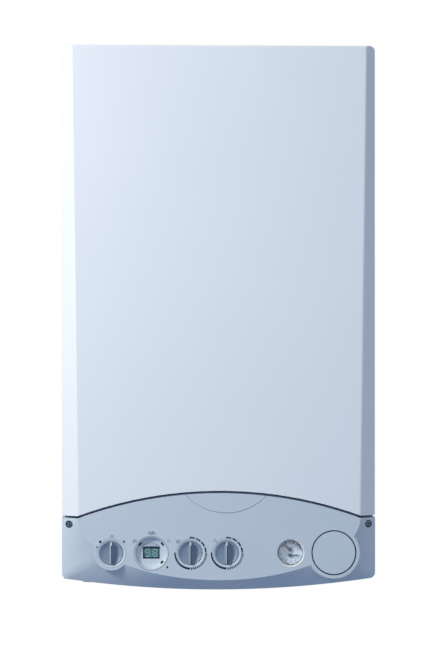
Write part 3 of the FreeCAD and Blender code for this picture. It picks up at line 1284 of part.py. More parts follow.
def burner_door():
    radius = EXCHANGER_RADIUS + EXCHANGER_FLANGE
    rim_front = DOOR_FRONT - DOOR_DISH_RISE
    outline = [(DUCT_INLET_RADIUS, EXCHANGER_FRONT), (radius, EXCHANGER_FRONT), (radius, rim_front)]
    outline += [(DOOR_DISH_RADIUS, rim_front), (DOOR_DISH_RADIUS - DOOR_DISH_RISE, DOOR_FRONT)]
    outline += [(DUCT_INLET_RADIUS, DOOR_FRONT)]
    plate = turned(0, EXCHANGER_LEVEL, outline)
    holes = []
    for place in electrode_places():
        holes.append(rod(place - FRONT * DOOR_THICKNESS, FRONT, ELECTRODE_RADIUS + FIT, 3 * DOOR_THICKNESS))
    return plate.cut(holes)


def electrode_places():
    depth = DOOR_FRONT - DOOR_DISH_RISE
    half = ELECTRODE_SPACING / 2
    x = DOOR_DISH_RADIUS + ELECTRODE_HEAD_RADIUS
    return [spot(x, depth, EXCHANGER_LEVEL + rise) for rise in (-half, half)]


def electrodes():
    rods = []
    for place in electrode_places():
        pin = rod(place - FRONT * ELECTRODE_IN, FRONT, ELECTRODE_RADIUS, ELECTRODE_IN + ELECTRODE_OUT)
        head = rod(place, FRONT, ELECTRODE_HEAD_RADIUS, ELECTRODE_HEAD_LENGTH)
        rods.append(joined(pin, [head]))
    return Part.Compound(rods)


def burner():
    flange = BURNER_RADIUS + BURNER_FLANGE
    inner = BURNER_RADIUS - BURNER_WALL
    end = EXCHANGER_FRONT - BURNER_LENGTH
    outline = [(0, end), (BURNER_RADIUS, end), (BURNER_RADIUS, EXCHANGER_FRONT - BURNER_FLANGE_THICKNESS)]
    outline += [(flange, EXCHANGER_FRONT - BURNER_FLANGE_THICKNESS), (flange, EXCHANGER_FRONT)]
    outline += [(inner, EXCHANGER_FRONT), (inner, end + BURNER_WALL), (0, end + BURNER_WALL)]
    return turned(0, EXCHANGER_LEVEL, outline)


def volute(depth, length, inset):
    """The fan's scroll: three growing quarter turns and a straight outlet pointing down."""
    tongue = FAN_TONGUE_RADIUS
    centre = Vec(FAN_X, -depth, FAN_LEVEL)
    diagonal = math.sqrt(0.5)
    edges = []
    start = centre - UP * (tongue - inset)
    first = start
    for turn, (away, onward) in enumerate(((DOWN, RIGHT), (RIGHT, UP), (UP, LEFT))):
        radius = tongue + turn * FAN_GROWTH - inset
        middle = centre + (away + onward) * radius * diagonal
        end = centre + onward * radius
        edges.append(arc(start, middle, end))
        centre = centre - onward * FAN_GROWTH
        start = end
    left = FAN_OUTLET_WIDTH / 2 - inset
    low = FAN_OUTLET_LEVEL - (OVERRUN if inset else 0)
    corners = [end, spot(end.x, depth, low), spot(left, depth, low), spot(left, depth, first.z), first]
    edges += [line(a, b) for a, b in zip(corners, corners[1:])]
    return extruded(Part.Wire(edges), length)


def fan_housing():
    room = volute(FAN_REAR + FAN_WALL, FAN_LENGTH - 2 * FAN_WALL, FAN_WALL)
    inlet = rod(spot(FAN_X, FAN_REAR - OVERRUN, FAN_LEVEL), FRONT, FAN_INLET_RADIUS, FAN_WALL + 2 * OVERRUN)
    shaft_radius = FAN_SHAFT_RADIUS + FAN_SHAFT_ROOM
    shaft = rod(spot(FAN_X, FAN_REAR, FAN_LEVEL), FRONT, shaft_radius, FAN_LENGTH + OVERRUN)
    return volute(FAN_REAR, FAN_LENGTH, 0).cut([room, inlet, shaft])


def impeller_blade(depth):
    """One backward-curved blade between the eye and the rim."""
    half = IMPELLER_BLADE / 2
    lag = math.radians(IMPELLER_LAG_DEG)
    eye = Vec(IMPELLER_EYE, 0, 0)
    rim = Vec(IMPELLER_RADIUS * math.cos(lag), 0, IMPELLER_RADIUS * math.sin(lag))
    along = (rim - eye).normalize()
    across = Vec(-along.z, 0, along.x)
    middle = (eye + rim) * HALF_SHARE - across * IMPELLER_BOW
    origin = spot(FAN_X, depth, FAN_LEVEL)
    edges = [
        arc(origin + eye - across * half, origin + middle - across * half, origin + rim - across * half),
        line(origin + rim - across * half, origin + rim + across * half),
        arc(origin + rim + across * half, origin + middle + across * half, origin + eye + across * half),
        line(origin + eye + across * half, origin + eye - across * half),
    ]
    return extruded(Part.Wire(edges), IMPELLER_WIDTH)


def fan_impeller():
    rear = FAN_FRONT - (FAN_LENGTH + IMPELLER_WIDTH) / 2
    start = spot(FAN_X, rear, FAN_LEVEL)
    front = spot(FAN_X, rear + IMPELLER_WIDTH - IMPELLER_PLATE, FAN_LEVEL)
    plate = rod(front, FRONT, IMPELLER_RADIUS + IMPELLER_BLADE, IMPELLER_PLATE)
    hub = rod(start, FRONT, IMPELLER_HUB, IMPELLER_WIDTH)
    ring = bored(start, FRONT, IMPELLER_RADIUS + IMPELLER_BLADE, IMPELLER_EYE, IMPELLER_PLATE)
    shaft = rod(start, FRONT, FAN_SHAFT_RADIUS, FAN_FRONT + FAN_SHAFT_REACH - rear)
    blade = impeller_blade(rear)
    blades = []
    for step in range(IMPELLER_BLADES):
        turn = step * FULL_TURN_DEG / IMPELLER_BLADES
        blades.append(blade.copy().rotate(start, FRONT, turn))
    return joined(plate, [hub, ring, shaft] + blades)


def fan_motor():
    outline = [(FAN_SHAFT_RADIUS + RUNNING_FIT, FAN_FRONT), (FAN_MOTOR_RADIUS, FAN_FRONT)]
    step = FAN_MOTOR_LENGTH / (2 * FAN_MOTOR_RIBS + 1)
    for rib in range(FAN_MOTOR_RIBS):
        depth = FAN_FRONT + (2 * rib + 1) * step
        groove = FAN_MOTOR_RADIUS - FAN_MOTOR_RIB_DEPTH
        outline += [(FAN_MOTOR_RADIUS, depth), (groove, depth)]
        outline += [(groove, depth + step), (FAN_MOTOR_RADIUS, depth + step)]
    end = FAN_FRONT + FAN_MOTOR_LENGTH
    blind = FAN_FRONT + FAN_SHAFT_REACH + FAN_SHAFT_ROOM
    outline += [(FAN_MOTOR_RADIUS, end), (0, end), (0, blind), (FAN_SHAFT_RADIUS + RUNNING_FIT, blind)]
    return turned(FAN_X, FAN_LEVEL, outline)


def mixture_duct():
    half = FAN_OUTLET_WIDTH / 2
    low = EXCHANGER_LEVEL
    depths = (DOOR_FRONT, FAN_FRONT)

    def form(inset, top):
        wire = Part.Wire([
            arc(spot(inset - half, depths[0] + inset, low), spot(0, depths[0] + inset, low - half + inset),
                spot(half - inset, depths[0] + inset, low)),
            line(spot(half - inset, depths[0] + inset, low), spot(half - inset, depths[0] + inset, top)),
            line(spot(half - inset, depths[0] + inset, top), spot(inset - half, depths[0] + inset, top)),
            line(spot(inset - half, depths[0] + inset, top), spot(inset - half, depths[0] + inset, low)),
        ])
        return extruded(wire, depths[1] - depths[0] - 2 * inset)

    outlet = rod(spot(0, DOOR_FRONT - OVERRUN, low), FRONT, DUCT_INLET_RADIUS, DUCT_WALL + 2 * OVERRUN)
    return form(0, FAN_OUTLET_LEVEL).cut([form(DUCT_WALL, FAN_OUTLET_LEVEL + OVERRUN), outlet])


def mixer():
    rear = FAN_REAR - MIXER_LENGTH
    third = MIXER_LENGTH / 3
    outline = [(MIXER_MOUTH, rear), (MIXER_RADIUS, rear), (MIXER_RADIUS, FAN_REAR)]
    outline += [(FAN_INLET_RADIUS, FAN_REAR), (MIXER_THROAT, FAN_REAR - third)]
    outline += [(MIXER_THROAT, rear + third)]
    body = turned(FAN_X, FAN_LEVEL, outline)
    start = spot(FAN_X + MIXER_THROAT, FAN_REAR - MIXER_PORT_DEPTH, FAN_LEVEL)
    port = rod(start, RIGHT, MIXER_PORT_RADIUS, MIXER_PORT_REACH - MIXER_THROAT)
    hole = rod(start - RIGHT * OVERRUN, RIGHT, GAS_MIX_RADIUS - PIPE_WALL, MIXER_PORT_REACH + OVERRUN)
    bore_outline = [(0, rear), (MIXER_THROAT, rear), (MIXER_THROAT, FAN_REAR), (0, FAN_REAR)]
    bore = turned(FAN_X, FAN_LEVEL, bore_outline)
    return joined(body, [port]).cut([hole, bore])


def gas_valve():
    xs = (VALVE_X - VALVE_WIDTH / 2, VALVE_X + VALVE_WIDTH / 2)
    depths = (CONNECTION_DEPTH - VALVE_DEPTH / 2, CONNECTION_DEPTH + VALVE_DEPTH / 2)
    top = VALVE_BOTTOM + VALVE_HEIGHT
    body = softened(slab(xs, depths, (VALVE_BOTTOM, top)), VALVE_CORNER, UP)
    necks = [
        rod(spot(VALVE_X, CONNECTION_DEPTH, VALVE_BOTTOM - VALVE_NECK), UP, VALVE_NECK_RADIUS, VALVE_NECK),
        rod(spot(VALVE_X, CONNECTION_DEPTH, top), UP, VALVE_NECK_RADIUS, VALVE_NECK),
    ]
    middle = VALVE_BOTTOM + VALVE_HEIGHT / 2
    coils = []
    for rise in (-VALVE_COIL_SPACING / 2, VALVE_COIL_SPACING / 2):
        start = spot(VALVE_X, depths[1], middle + rise)
        coils.append(rod(start, FRONT, VALVE_COIL_RADIUS, VALVE_COIL_LENGTH))
    return joined(body, necks + coils)


def gas_supply_pipe():
    low = BELLY_RISE - CONNECTION_DROP - TAIL_RADIUS
    inlet = VALVE_BOTTOM - VALVE_NECK
    level = inlet - GAS_CROSS_DROP
    points = [
        spot(0, CONNECTION_DEPTH, low),
        spot(0, CONNECTION_DEPTH, level),
        spot(VALVE_X, CONNECTION_DEPTH, level),
        spot(VALVE_X, CONNECTION_DEPTH, inlet),
    ]
    return joined(pipe(points, GAS_PIPE_RADIUS, PIPE_WALL, PIPE_BEND),
                  [locknut(0, CONNECTION_DEPTH, GAS_PIPE_RADIUS)])


def gas_mixer_pipe():
    outlet = VALVE_BOTTOM + VALVE_HEIGHT + VALVE_NECK
    depth = FAN_REAR - MIXER_PORT_DEPTH
    points = [
        spot(VALVE_X, CONNECTION_DEPTH, outlet),
        spot(VALVE_X, CONNECTION_DEPTH, FAN_LEVEL),
        spot(VALVE_X, depth, FAN_LEVEL),
        spot(FAN_X + MIXER_PORT_REACH, depth, FAN_LEVEL),
    ]
    return pipe(points, GAS_MIX_RADIUS, PIPE_WALL, PIPE_BEND)


def flue_pipe():
    start = spot(0, FLUE_DEPTH, FLUE_SEAT)
    return bored(start, UP, FLUE_RADIUS, FLUE_RADIUS - FLUE_WALL, FLUE_TOP - FLUE_SEAT)


def flue_collar():
    outer = COLLAR_BORE + COLLAR_WALL
    low = CASE_HEIGHT - COLLAR_LIP
    top = CASE_HEIGHT + COLLAR_RISE
    flange = outer + COLLAR_FLANGE
    outline = [(COLLAR_BORE, low), (outer, low), (outer, CASE_HEIGHT), (flange, CASE_HEIGHT)]
    flange_top = CASE_HEIGHT + COLLAR_FLANGE_THICKNESS
    outline += [(flange, flange_top), (outer, flange_top), (outer, top), (COLLAR_BORE, top)]
    return spun(0, FLUE_DEPTH, outline)


def manifold(side):
    """A moulded water block with stiffening ribs round it."""
    xs = sorted((side * MANIFOLD_INNER_X, side * (MANIFOLD_INNER_X + MANIFOLD_WIDTH)))
    depths = (MANIFOLD_REAR, MANIFOLD_FRONT)
    block = softened(slab(xs, depths, (MANIFOLD_BOTTOM, MANIFOLD_TOP)), MANIFOLD_CORNER, UP)
    grooves = []
    for step in range(MANIFOLD_RIB_COUNT):
        level = MANIFOLD_BOTTOM + (step + 1) * MANIFOLD_HEIGHT / (MANIFOLD_RIB_COUNT + 1)
        if abs(level - TAP_PIPE_LEVEL) < TAP_PIPE_RADIUS + MANIFOLD_RIB:
            continue
        outside = side * (MANIFOLD_INNER_X + MANIFOLD_WIDTH)
        span = sorted((outside, outside - side * MANIFOLD_RIB))
        grooves.append(slab(span, depths, (level, level + MANIFOLD_RIB)))
    return block.cut(grooves)


def flow_manifold():
    return manifold(-1)


def return_manifold():
    return manifold(1)


def diverter_motor():
    start = spot(-HEATING_X_PIPE, MANIFOLD_FRONT, DIVERTER_LEVEL)
    body = rod(start, FRONT, DIVERTER_RADIUS, DIVERTER_LENGTH)
    xs = (-HEATING_X_PIPE - DIVERTER_PLUG, -HEATING_X_PIPE + DIVERTER_PLUG)
    heights = (DIVERTER_LEVEL, DIVERTER_LEVEL + DIVERTER_RADIUS + DIVERTER_PLUG)
    depths = (MANIFOLD_FRONT + DIVERTER_PLUG, MANIFOLD_FRONT + DIVERTER_LENGTH - DIVERTER_PLUG)
    plug = slab(xs, depths, heights)
    return joined(body, [plug])


def plate_exchanger():
    """A brazed pack of plates that bridges the two manifolds."""
    plates = []
    for step in range(PLATE_COUNT):
        inset = PLATE_STEP if step % 2 else 0
        depth = PLATE_REAR + step * PLATE_PITCH
        xs = (inset - MANIFOLD_INNER_X, MANIFOLD_INNER_X - inset)
        heights = (PLATE_BOTTOM + inset, PLATE_BOTTOM + PLATE_HEIGHT - inset)
        plates.append(slab(xs, (depth, depth + PLATE_PITCH), heights))
    return joined(plates[0], plates[1:])


def pump_body():
    x = HEATING_X_PIPE
    volute_disc = rod(spot(x, PUMP_VOLUTE_REAR, PUMP_LEVEL), FRONT, PUMP_VOLUTE_RADIUS, PUMP_VOLUTE_LENGTH)
    neck_depth = PORT_DEPTH
    length = PUMP_TOP - MANIFOLD_TOP
    neck = rod(spot(x, neck_depth, MANIFOLD_TOP), UP, PUMP_NECK_RADIUS, length)
    return joined(volute_disc, [neck])


def pump_motor():
    x = HEATING_X_PIPE
    length = PUMP_FRONT - PUMP_VOLUTE_FRONT
    outline = [(0, PUMP_VOLUTE_FRONT), (PUMP_MOTOR_RADIUS, PUMP_VOLUTE_FRONT)]
    step = length / (2 * PUMP_FIN_COUNT + 1)
    for fin in range(PUMP_FIN_COUNT):
        depth = PUMP_VOLUTE_FRONT + (2 * fin + 1) * step
        groove = PUMP_MOTOR_RADIUS - PUMP_FIN
        outline += [(PUMP_MOTOR_RADIUS, depth), (groove, depth)]
        outline += [(groove, depth + step), (PUMP_MOTOR_RADIUS, depth + step)]
    outline += [(PUMP_MOTOR_RADIUS, PUMP_FRONT), (PUMP_CAP_RADIUS, PUMP_FRONT)]
    outline += [(PUMP_CAP_RADIUS, PUMP_FRONT + PUMP_CAP_LENGTH), (0, PUMP_FRONT + PUMP_CAP_LENGTH)]
    return turned(x, PUMP_LEVEL, outline)


def riser(x, top):
    """A heating pipe from an exchanger port down to the water block or pump below."""
    side = math.copysign(1, x)
    port = side * PORT_X
    level = (PORT_LEVEL + PUMP_TOP) / 2
    points = [
        spot(port, PORT_DEPTH, PORT_LEVEL),
        spot(port, PORT_DEPTH, level),
        spot(x, PORT_DEPTH, level),
        spot(x, PORT_DEPTH, top),
    ]
    return pipe(points, TAIL_RADIUS, PIPE_WALL, PIPE_BEND)


def flow_pipe():
    return riser(-HEATING_X_PIPE, MANIFOLD_TOP)


def return_pipe():
    return riser(HEATING_X_PIPE, PUMP_TOP)


def heating_tails():
    low = BELLY_RISE - CONNECTION_DROP - TAIL_RADIUS
    tails = []
    for x in (-HEATING_X_PIPE, HEATING_X_PIPE):
        start = spot(x, CONNECTION_DEPTH, low)
        tail = bored(start, UP, TAIL_RADIUS, TAIL_RADIUS - PIPE_WALL, MANIFOLD_BOTTOM - low)
        tails.append(joined(tail, [locknut(x, CONNECTION_DEPTH, TAIL_RADIUS)]))
    return Part.Compound(tails)


def tap_pipe(side):
    low = BELLY_RISE - CONNECTION_DROP - TAIL_RADIUS
    x = side * CONNECTION_STEP
    points = [
        spot(x, CONNECTION_DEPTH, low),
        spot(x, CONNECTION_DEPTH, TAP_PIPE_LEVEL),
        spot(side * MANIFOLD_INNER_X, CONNECTION_DEPTH, TAP_PIPE_LEVEL),
    ]
    run = pipe(points, TAP_PIPE_RADIUS, PIPE_WALL, PIPE_BEND)
    return joined(run, [locknut(x, CONNECTION_DEPTH, TAP_PIPE_RADIUS)])


def hot_water_pipe():
    return tap_pipe(-1)


def cold_water_pipe():
    return tap_pipe(1)


def relief_valve():
    x = HEATING_X_PIPE
    body = rod(spot(x, MANIFOLD_FRONT, RELIEF_LEVEL), FRONT, RELIEF_RADIUS, RELIEF_LENGTH)
    spindle = rod(spot(x, RELIEF_FRONT, RELIEF_LEVEL), FRONT, RELIEF_SPINDLE_RADIUS, RELIEF_SPINDLE_LENGTH)
    low = BELLY_RISE - RELIEF_DISCHARGE_DROP - TAIL_RADIUS
    depth = MANIFOLD_FRONT + RELIEF_LENGTH / 2
    spout = bored(spot(x, depth, low), UP, TAP_PIPE_RADIUS, TAP_PIPE_RADIUS - PIPE_WALL, RELIEF_LEVEL - low)
    return joined(body, [spindle, spout, locknut(x, depth, TAP_PIPE_RADIUS)])


def relief_knob():
    x = HEATING_X_PIPE
    start = spot(x, RELIEF_FRONT + RELIEF_KNOB_GAP, RELIEF_LEVEL)
    body = rod(start, FRONT, RELIEF_KNOB_RADIUS, RELIEF_KNOB_LENGTH)
    bore = RELIEF_SPINDLE_RADIUS + RUNNING_FIT
    cuts = [rod(start - FRONT * OVERRUN, FRONT, bore, OVERRUN + RELIEF_SPINDLE_LENGTH)]
    for step in range(RELIEF_FLUTES):
        turn = step * 2 * math.pi / RELIEF_FLUTES
        offset = Vec(math.cos(turn), 0, math.sin(turn)) * RELIEF_KNOB_RADIUS
        flute = start + offset - FRONT * OVERRUN
        cuts.append(rod(flute, FRONT, RELIEF_FLUTE_RADIUS, RELIEF_KNOB_LENGTH + 2 * OVERRUN))
    return body.cut(cuts)


def expansion_vessel():
    left = VESSEL_SIDE_GAP - SIDE_INNER
    xs = (left, left + VESSEL_THICKNESS)
    rear = INSIDE_REAR + VESSEL_SEAM
    top = CASE_HEIGHT - VESSEL_TOP_DROP
    heights = (HOSE_LEVEL + HOSE_RADIUS + VESSEL_HOSE_GAP + VESSEL_SEAM, top)
    depths = (rear, rear + VESSEL_LENGTH)
    shell = vessel_form(xs, depths, heights, 0)
    room = vessel_form(xs, depths, heights, VESSEL_WALL)
    middle = (xs[0] + xs[1]) / 2
    seam_xs = (middle - VESSEL_SEAM_THICKNESS / 2, middle + VESSEL_SEAM_THICKNESS / 2)
    seam_depths = (INSIDE_REAR, rear + VESSEL_LENGTH + VESSEL_SEAM)
    seam_heights = (heights[0] - VESSEL_SEAM, heights[1] + VESSEL_SEAM)
    seam = softened(slab(seam_xs, seam_depths, seam_heights), VESSEL_CORNER + VESSEL_SEAM, RIGHT)
    port_start = spot(middle, (depths[0] + depths[1]) / 2, heights[1] - VESSEL_CORNER)
    port = rod(port_start, UP, VESSEL_PORT_RADIUS, VESSEL_CORNER + VESSEL_PORT_RISE)
    hole = rod(port_start, UP, VESSEL_PORT_BORE, 2 * VESSEL_CORNER + VESSEL_PORT_RISE)
    return joined(shell, [seam, port]).cut([room, hole])


def vessel_form(xs, depths, heights, inset):
    spans = [(low + inset, high - inset) for low, high in (xs, depths, heights)]
    block = slab(*spans)
    return block.makeFillet(VESSEL_CORNER - inset, block.Edges)


def condensate_trap():
    cup_top = TRAY_TOP + TRAP_CUP_HEIGHT
    outlet = BELLY_RISE - TRAP_OUTLET_DROP - TRAP_OUTLET_RADIUS
    bore = HOSE_RADIUS - HOSE_WALL
    outline = [(bore, outlet), (TRAP_OUTLET_RADIUS, outlet), (TRAP_OUTLET_RADIUS, TRAY_TOP)]
    outline += [(TRAP_CUP_RADIUS, TRAY_TOP), (TRAP_CUP_RADIUS, cup_top), (TRAP_RADIUS, cup_top)]
    neck_top = TRAP_TOP + TRAP_NECK
    outline += [(TRAP_RADIUS, TRAP_TOP), (TRAP_NECK_RADIUS, TRAP_TOP), (TRAP_NECK_RADIUS, neck_top)]
    outline += [(bore, neck_top)]
    nut = locknut(TRAP_X, TRAP_DEPTH, TRAP_OUTLET_RADIUS)
    return joined(spun(TRAP_X, TRAP_DEPTH, outline), [nut])


def condensate_hose():
    points = [
        spot(0, DRAIN_DEPTH, DRAIN_LEVEL),
        spot(0, DRAIN_DEPTH, HOSE_LEVEL),
        spot(TRAP_X, TRAP_DEPTH, HOSE_LEVEL),
        spot(TRAP_X, TRAP_DEPTH, TRAP_TOP + TRAP_NECK),
    ]
    return pipe(points, HOSE_RADIUS, HOSE_WALL, PIPE_BEND)


PIECES = [
    wall_bracket, wall_buffers, back_plate, left_side_panel, right_side_panel, top_panel,
    bottom_tray, hinge_arms, hinge_pins, front_cover,
    fascia, badge_plate, selector_knob, heating_knob, hot_water_knob,
    display_bezel, lcd_module, info_button, indicator_lights,
    gauge_case, gauge_dial, gauge_lens, temperature_pointer, pressure_pointer,
    clock_cover, panel_screws, control_box, main_board, rotary_controls,
    exchanger_housing, exchanger_coil, burner_door, burner, electrodes, flue_pipe, flue_collar,
    fan_housing, fan_impeller, fan_motor, mixture_duct, mixer,
    gas_valve, gas_supply_pipe, gas_mixer_pipe,
    expansion_vessel, flow_manifold, return_manifold, diverter_motor, plate_exchanger,
    pump_body, pump_motor, flow_pipe, return_pipe, heating_tails, hot_water_pipe, cold_water_pipe,
    relief_valve, relief_knob, condensate_trap, condensate_hose,
]

os.makedirs("parts", exist_ok=True)
to_origin = Vec(0, 0, -BOLT_HEIGHT)
for piece in PIECES:
    shape = piece()
    solids = [solid.translated(to_origin) for solid in shape.Solids]
    whole = solids[0] if len(solids) == 1 else Part.Compound(solids)
    whole.exportStep(f"parts/{piece.__name__}.step")
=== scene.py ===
import json
import math

import bmesh
import bpy
from mathutils import Euler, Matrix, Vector


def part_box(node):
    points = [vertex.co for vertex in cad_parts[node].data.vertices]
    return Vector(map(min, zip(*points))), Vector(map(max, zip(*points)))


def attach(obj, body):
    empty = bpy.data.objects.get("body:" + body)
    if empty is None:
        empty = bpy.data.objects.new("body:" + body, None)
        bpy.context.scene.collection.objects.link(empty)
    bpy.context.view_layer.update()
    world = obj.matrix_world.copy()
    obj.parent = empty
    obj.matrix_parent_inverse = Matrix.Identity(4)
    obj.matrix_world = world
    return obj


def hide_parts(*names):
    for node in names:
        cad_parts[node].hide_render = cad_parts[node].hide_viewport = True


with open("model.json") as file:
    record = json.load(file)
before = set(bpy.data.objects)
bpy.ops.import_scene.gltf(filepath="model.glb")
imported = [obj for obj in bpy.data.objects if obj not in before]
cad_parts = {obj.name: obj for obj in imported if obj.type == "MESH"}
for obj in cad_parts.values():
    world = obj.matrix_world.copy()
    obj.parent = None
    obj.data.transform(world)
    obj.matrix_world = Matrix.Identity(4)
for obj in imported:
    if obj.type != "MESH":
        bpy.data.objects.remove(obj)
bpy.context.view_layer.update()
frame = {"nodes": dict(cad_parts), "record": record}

nodes = frame["nodes"]

MM = 0.001
SMOOTH_DEG = 32.0
EDGE_ROUND = 0.5 * MM
ROUND_SIDES = 72

# Steps along a flat round shape; a whole ring stops just short of its start
DISC_STEPS = 20
BAND_STEPS = 36
RING_STEPS = 96
RING_DEG = (0, 359.9)

# Camera: level, below the middle of the case and a little to its left, with the lens shifted up
EYE_DISTANCE = 3.12
EYE_LEFT_DEG = 1.7
EYE_HEIGHT = 300.0 * MM
VIEW_HEIGHT = 371.0 * MM
VIEW_RIGHT = 0.9 * MM
LENS_MM = 123.9
SENSOR_MM = 36.0

# Lamps: a key at the upper left and a weak fill at the lower right
KEY_TOWARDS = Vector((-0.73, -0.58, 0.37))
KEY_DISTANCE = 2.0
KEY_SIDE = 0.42
KEY_POWER = 36.4
KEY_TINT = "#fff9f0"
FILL_PLACE = (1.6, -2.4, -0.95)
FILL_SIDE = 1.6
FILL_POWER = 8.0
FILL_TINT = "#d6e5ff"

# Light from all round: weak and blue from below, stronger and white from above
SKY_HEIGHTS = (-0.5, 0.6)
SKY_STRENGTHS = (0.33, 0.58)
SKY_TINTS = ("#8fb0e6", "#f6f7f8")
WHITE = (1.0, 1.0, 1.0, 1.0)

# Floor under the case, which hangs on a wall: painted in the middle and white towards its rim
FLOOR_DROP = 1.25
FLOOR_RADIUS = 1.8
FLOOR_SIDES = 96
FLOOR_TINT = "#8da3c6"
FADE_SHARES = (0.3, 0.95)
FADE_LEAST = 0.6

# Printing on the fascia
INK_RISE = 0.12 * MM
LETTER_WEIGHT = 0.025

# Scale round a temperature knob, in degrees anticlockwise from its right
SCALE_RADIUS = 21.6 * MM
SWELL_DEG = (178, 268)
SWELL_WIDTHS = (1.8 * MM, 2.9 * MM)
DOTS_RADIUS = SCALE_RADIUS + 0.4 * MM
DOTS_DEG = (274, 356)
DOTS_COUNT = 12
DOT_ALONG = 1.7 * MM
DOT_ACROSS = 2.6 * MM
DASH_STARTS_DEG = (2, 26, 50, 74)
DASH_SWEEP_DEG = 19
DASH_STEPS = 8
DASH_WIDTH = 1.9 * MM

# Knobs: a dished face with a fin across it; a reach is a share of the face's radius
KNOB_INSET = 1.1 * MM
RIM_DROP = 5.2 * MM
RIM_ROUND = 0.7 * MM
FACE_DISH = 4.1 * MM
FACE_POWER = 3
FACE_STEPS = (0.0, 0.1, 0.25, 0.45, 0.65, 0.85, 1.0)
FIN_RISE = 4.6 * MM
FIN_CREST = 1.0 * MM
FIN_WAIST = 2.5 * MM
FIN_FOOT = 3.6 * MM
FIN_END_DROP = 0.22
FIN_END_POWER = 4
CREST_SHARES = (0.1, 1.0)
CREST_REACH = 0.95
WAIST_REACH = 0.97
FOOT_REACH = 0.985

# Inlays along the fin, with their sides as shares of the crest's half width
POINTER_LENGTH = 4.8 * MM
POINTER_REACH = 0.97
POINTER_SIDES = (-1.0, 1.0)
# The pale line left of the crest is painted highlight; the navy line right of it is painted shade
PAINTED_HIGHLIGHT_SIDES = (-1.0, -0.1)
PAINTED_SHADE_SIDES = (0.1, 1.3)
LINE_REACH = 0.9
INLAY_STEPS = 8

# Conical ring that each knob sits in
RING_GAP = 0.3 * MM
RING_DROP = 1.25 * MM
RING_FOOT = 1.6 * MM
RING_WALL = 0.4 * MM
RING_MOUTH = 2.9 * MM

# Round boss of the clock cover, which runs out onto the lower band
BOSS_RADIUS = 36.0 * MM
SKIRT_WIDTH = 2.2 * MM
SKIRT_DEPTH = 3.6 * MM

# Joint lines: painted shadow in the clock cover's gap, and a line round the dish
CLOCK_SHADOW_GAP = 0.2 * MM
CLOCK_SHADOW_WIDTH = 1.5 * MM
DISH_RIM_RADIUS = 23.8 * MM
DISH_JOINT_WIDTH = 0.6 * MM

# Panel screws: painted shade of the recess round a cross slot and of the slot, in shares of the
# head's radius
RECESS_RADIUS = 0.86
RECESS_WIDTH = 0.26
SLOT_LENGTH = 1.1
SLOT_WIDTH = 0.22

# Joint between the fascia and the cover: an arc across the front with a seal along it, whose navy
# is painted shade of the gap
ARCH_HALF = 197.5 * MM
ARCH_RISE = 35.0 * MM
SEAL_WIDTH = 2.0 * MM
SEAL_DEPTH = 2.2 * MM
SEAL_THICKNESS = 6.0 * MM
SEAL_END_DEG = 0.4
SEAL_STEPS = 64

# Display window: a navy frame round it is painted shadow of its edge, thicker above and at the
# left
LCD_HEIGHT = 15.4 * MM
LCD_WIDTH = 22.7 * MM
WINDOW_SHADOW_THICK = 1.8 * MM
WINDOW_SHADOW_THIN = 1.3 * MM

# Its two digits: millimetres right of the window's middle, and the bars that stay unlit
DIGITS = ((-5.1, (3,)), (5.4, ()))
DIGIT_WIDTH = 7.6 * MM
DIGIT_HEIGHT = 11.8 * MM
DIGIT_STROKE = 2.0 * MM
DIGIT_GAP = DIGIT_STROKE * 1.12
INFO_SIZE = 6.6 * MM

# Signs: the control that each belongs to, and millimetres right of its middle and above it
SIGN_PLACES = {
    "info_word": ("lcd_module", 1.0, 28.2),
    "left_dot": ("selector_knob", -15.3, 16.1),
    "left_dash": ("selector_knob", -19.8, 8.3),
    "top_ring": ("selector_knob", 1.0, 22.9),
    "right_dot": ("selector_knob", 17.7, 16.1),
    "flame": ("lcd_module", 22.4, -19.4),
    "window_radiator": ("lcd_module", -23.3, 16.7),
    "window_tap": ("lcd_module", 24.1, 16.7),
    "heating_radiator": ("heating_knob", -17.3, 16.1),
    "hot_water_tap": ("hot_water_knob", -16.4, 16.8),
}
LEFT_DOT_RADIUS = 1.8 * MM
RIGHT_DOT_RADIUS = 1.9 * MM
LEFT_DASH = (1.5 * MM, 2.5 * MM)
TOP_RING_RADIUS = 1.8 * MM
TOP_RING_WIDTH = 0.9 * MM
TOP_RING_DEG = (-60, 240)
FLAME_WIDTH = 1.3 * MM
FLAME_HEIGHT = 1.9 * MM
FLAME_PINCH = 0.75
FLAME_STEPS = 20

# A sign's bars: right, up, width and height in millimetres
TAP_BARS = ((0, 0, 4.6, 1.2), (-0.4, 1.2, 0.9, 1.3), (-0.4, 2.1, 2.8, 0.8), (1.8, -1.4, 1.1, 1.8))
RADIATOR_BARS = (
    (-2.1, 0, 0.8, 4.2), (-0.7, 0, 0.8, 4.2), (0.7, 0, 0.8, 4.2), (2.1, 0, 0.8, 4.2),
    (0, -1.4, 5.0, 0.5), (0, 1.4, 5.0, 0.5),
)

# Gauge: temperature above and pressure below, in degrees anticlockwise from the right
TEMPERATURE_FIGURES = (("20", 140), ("40", 116), ("60", 92), ("80", 70), ("100", 45), ("120", 21))
TEMPERATURE_RADIUS = 13.6 * MM
TEMPERATURE_SIZE = 4.2 * MM
PRESSURE_FIGURES = (("0", 196), ("1", 222), ("2", 248), ("3", 276), ("4", 304))
PRESSURE_RADIUS = 13.4 * MM
PRESSURE_SIZE = 3.6 * MM
# Grey band round the dial's left and top: painted shadow of the gauge's wall
SHADE_RADIUS = 16.3 * MM
SHADE_THIN = 1.2 * MM
SHADE_THICK = 3.2 * MM
SHADE_DEG = (222, 130, 8)
TICK_RADIUS = 16.8 * MM
TICK_ALONG = 0.35 * MM
TICK_ACROSS = 1.4 * MM
UPPER_TICKS = ((15, 146), 21)
LOWER_TICKS = ((192, 308), 25)
HUB_RADIUS = 2.7 * MM
NEEDLE_WIDTH = 1.5 * MM
NEEDLE_DROP = 0.6 * MM
NEEDLE_THICKNESS = 0.3 * MM
GAUGE_BEVEL = 1.5 * MM

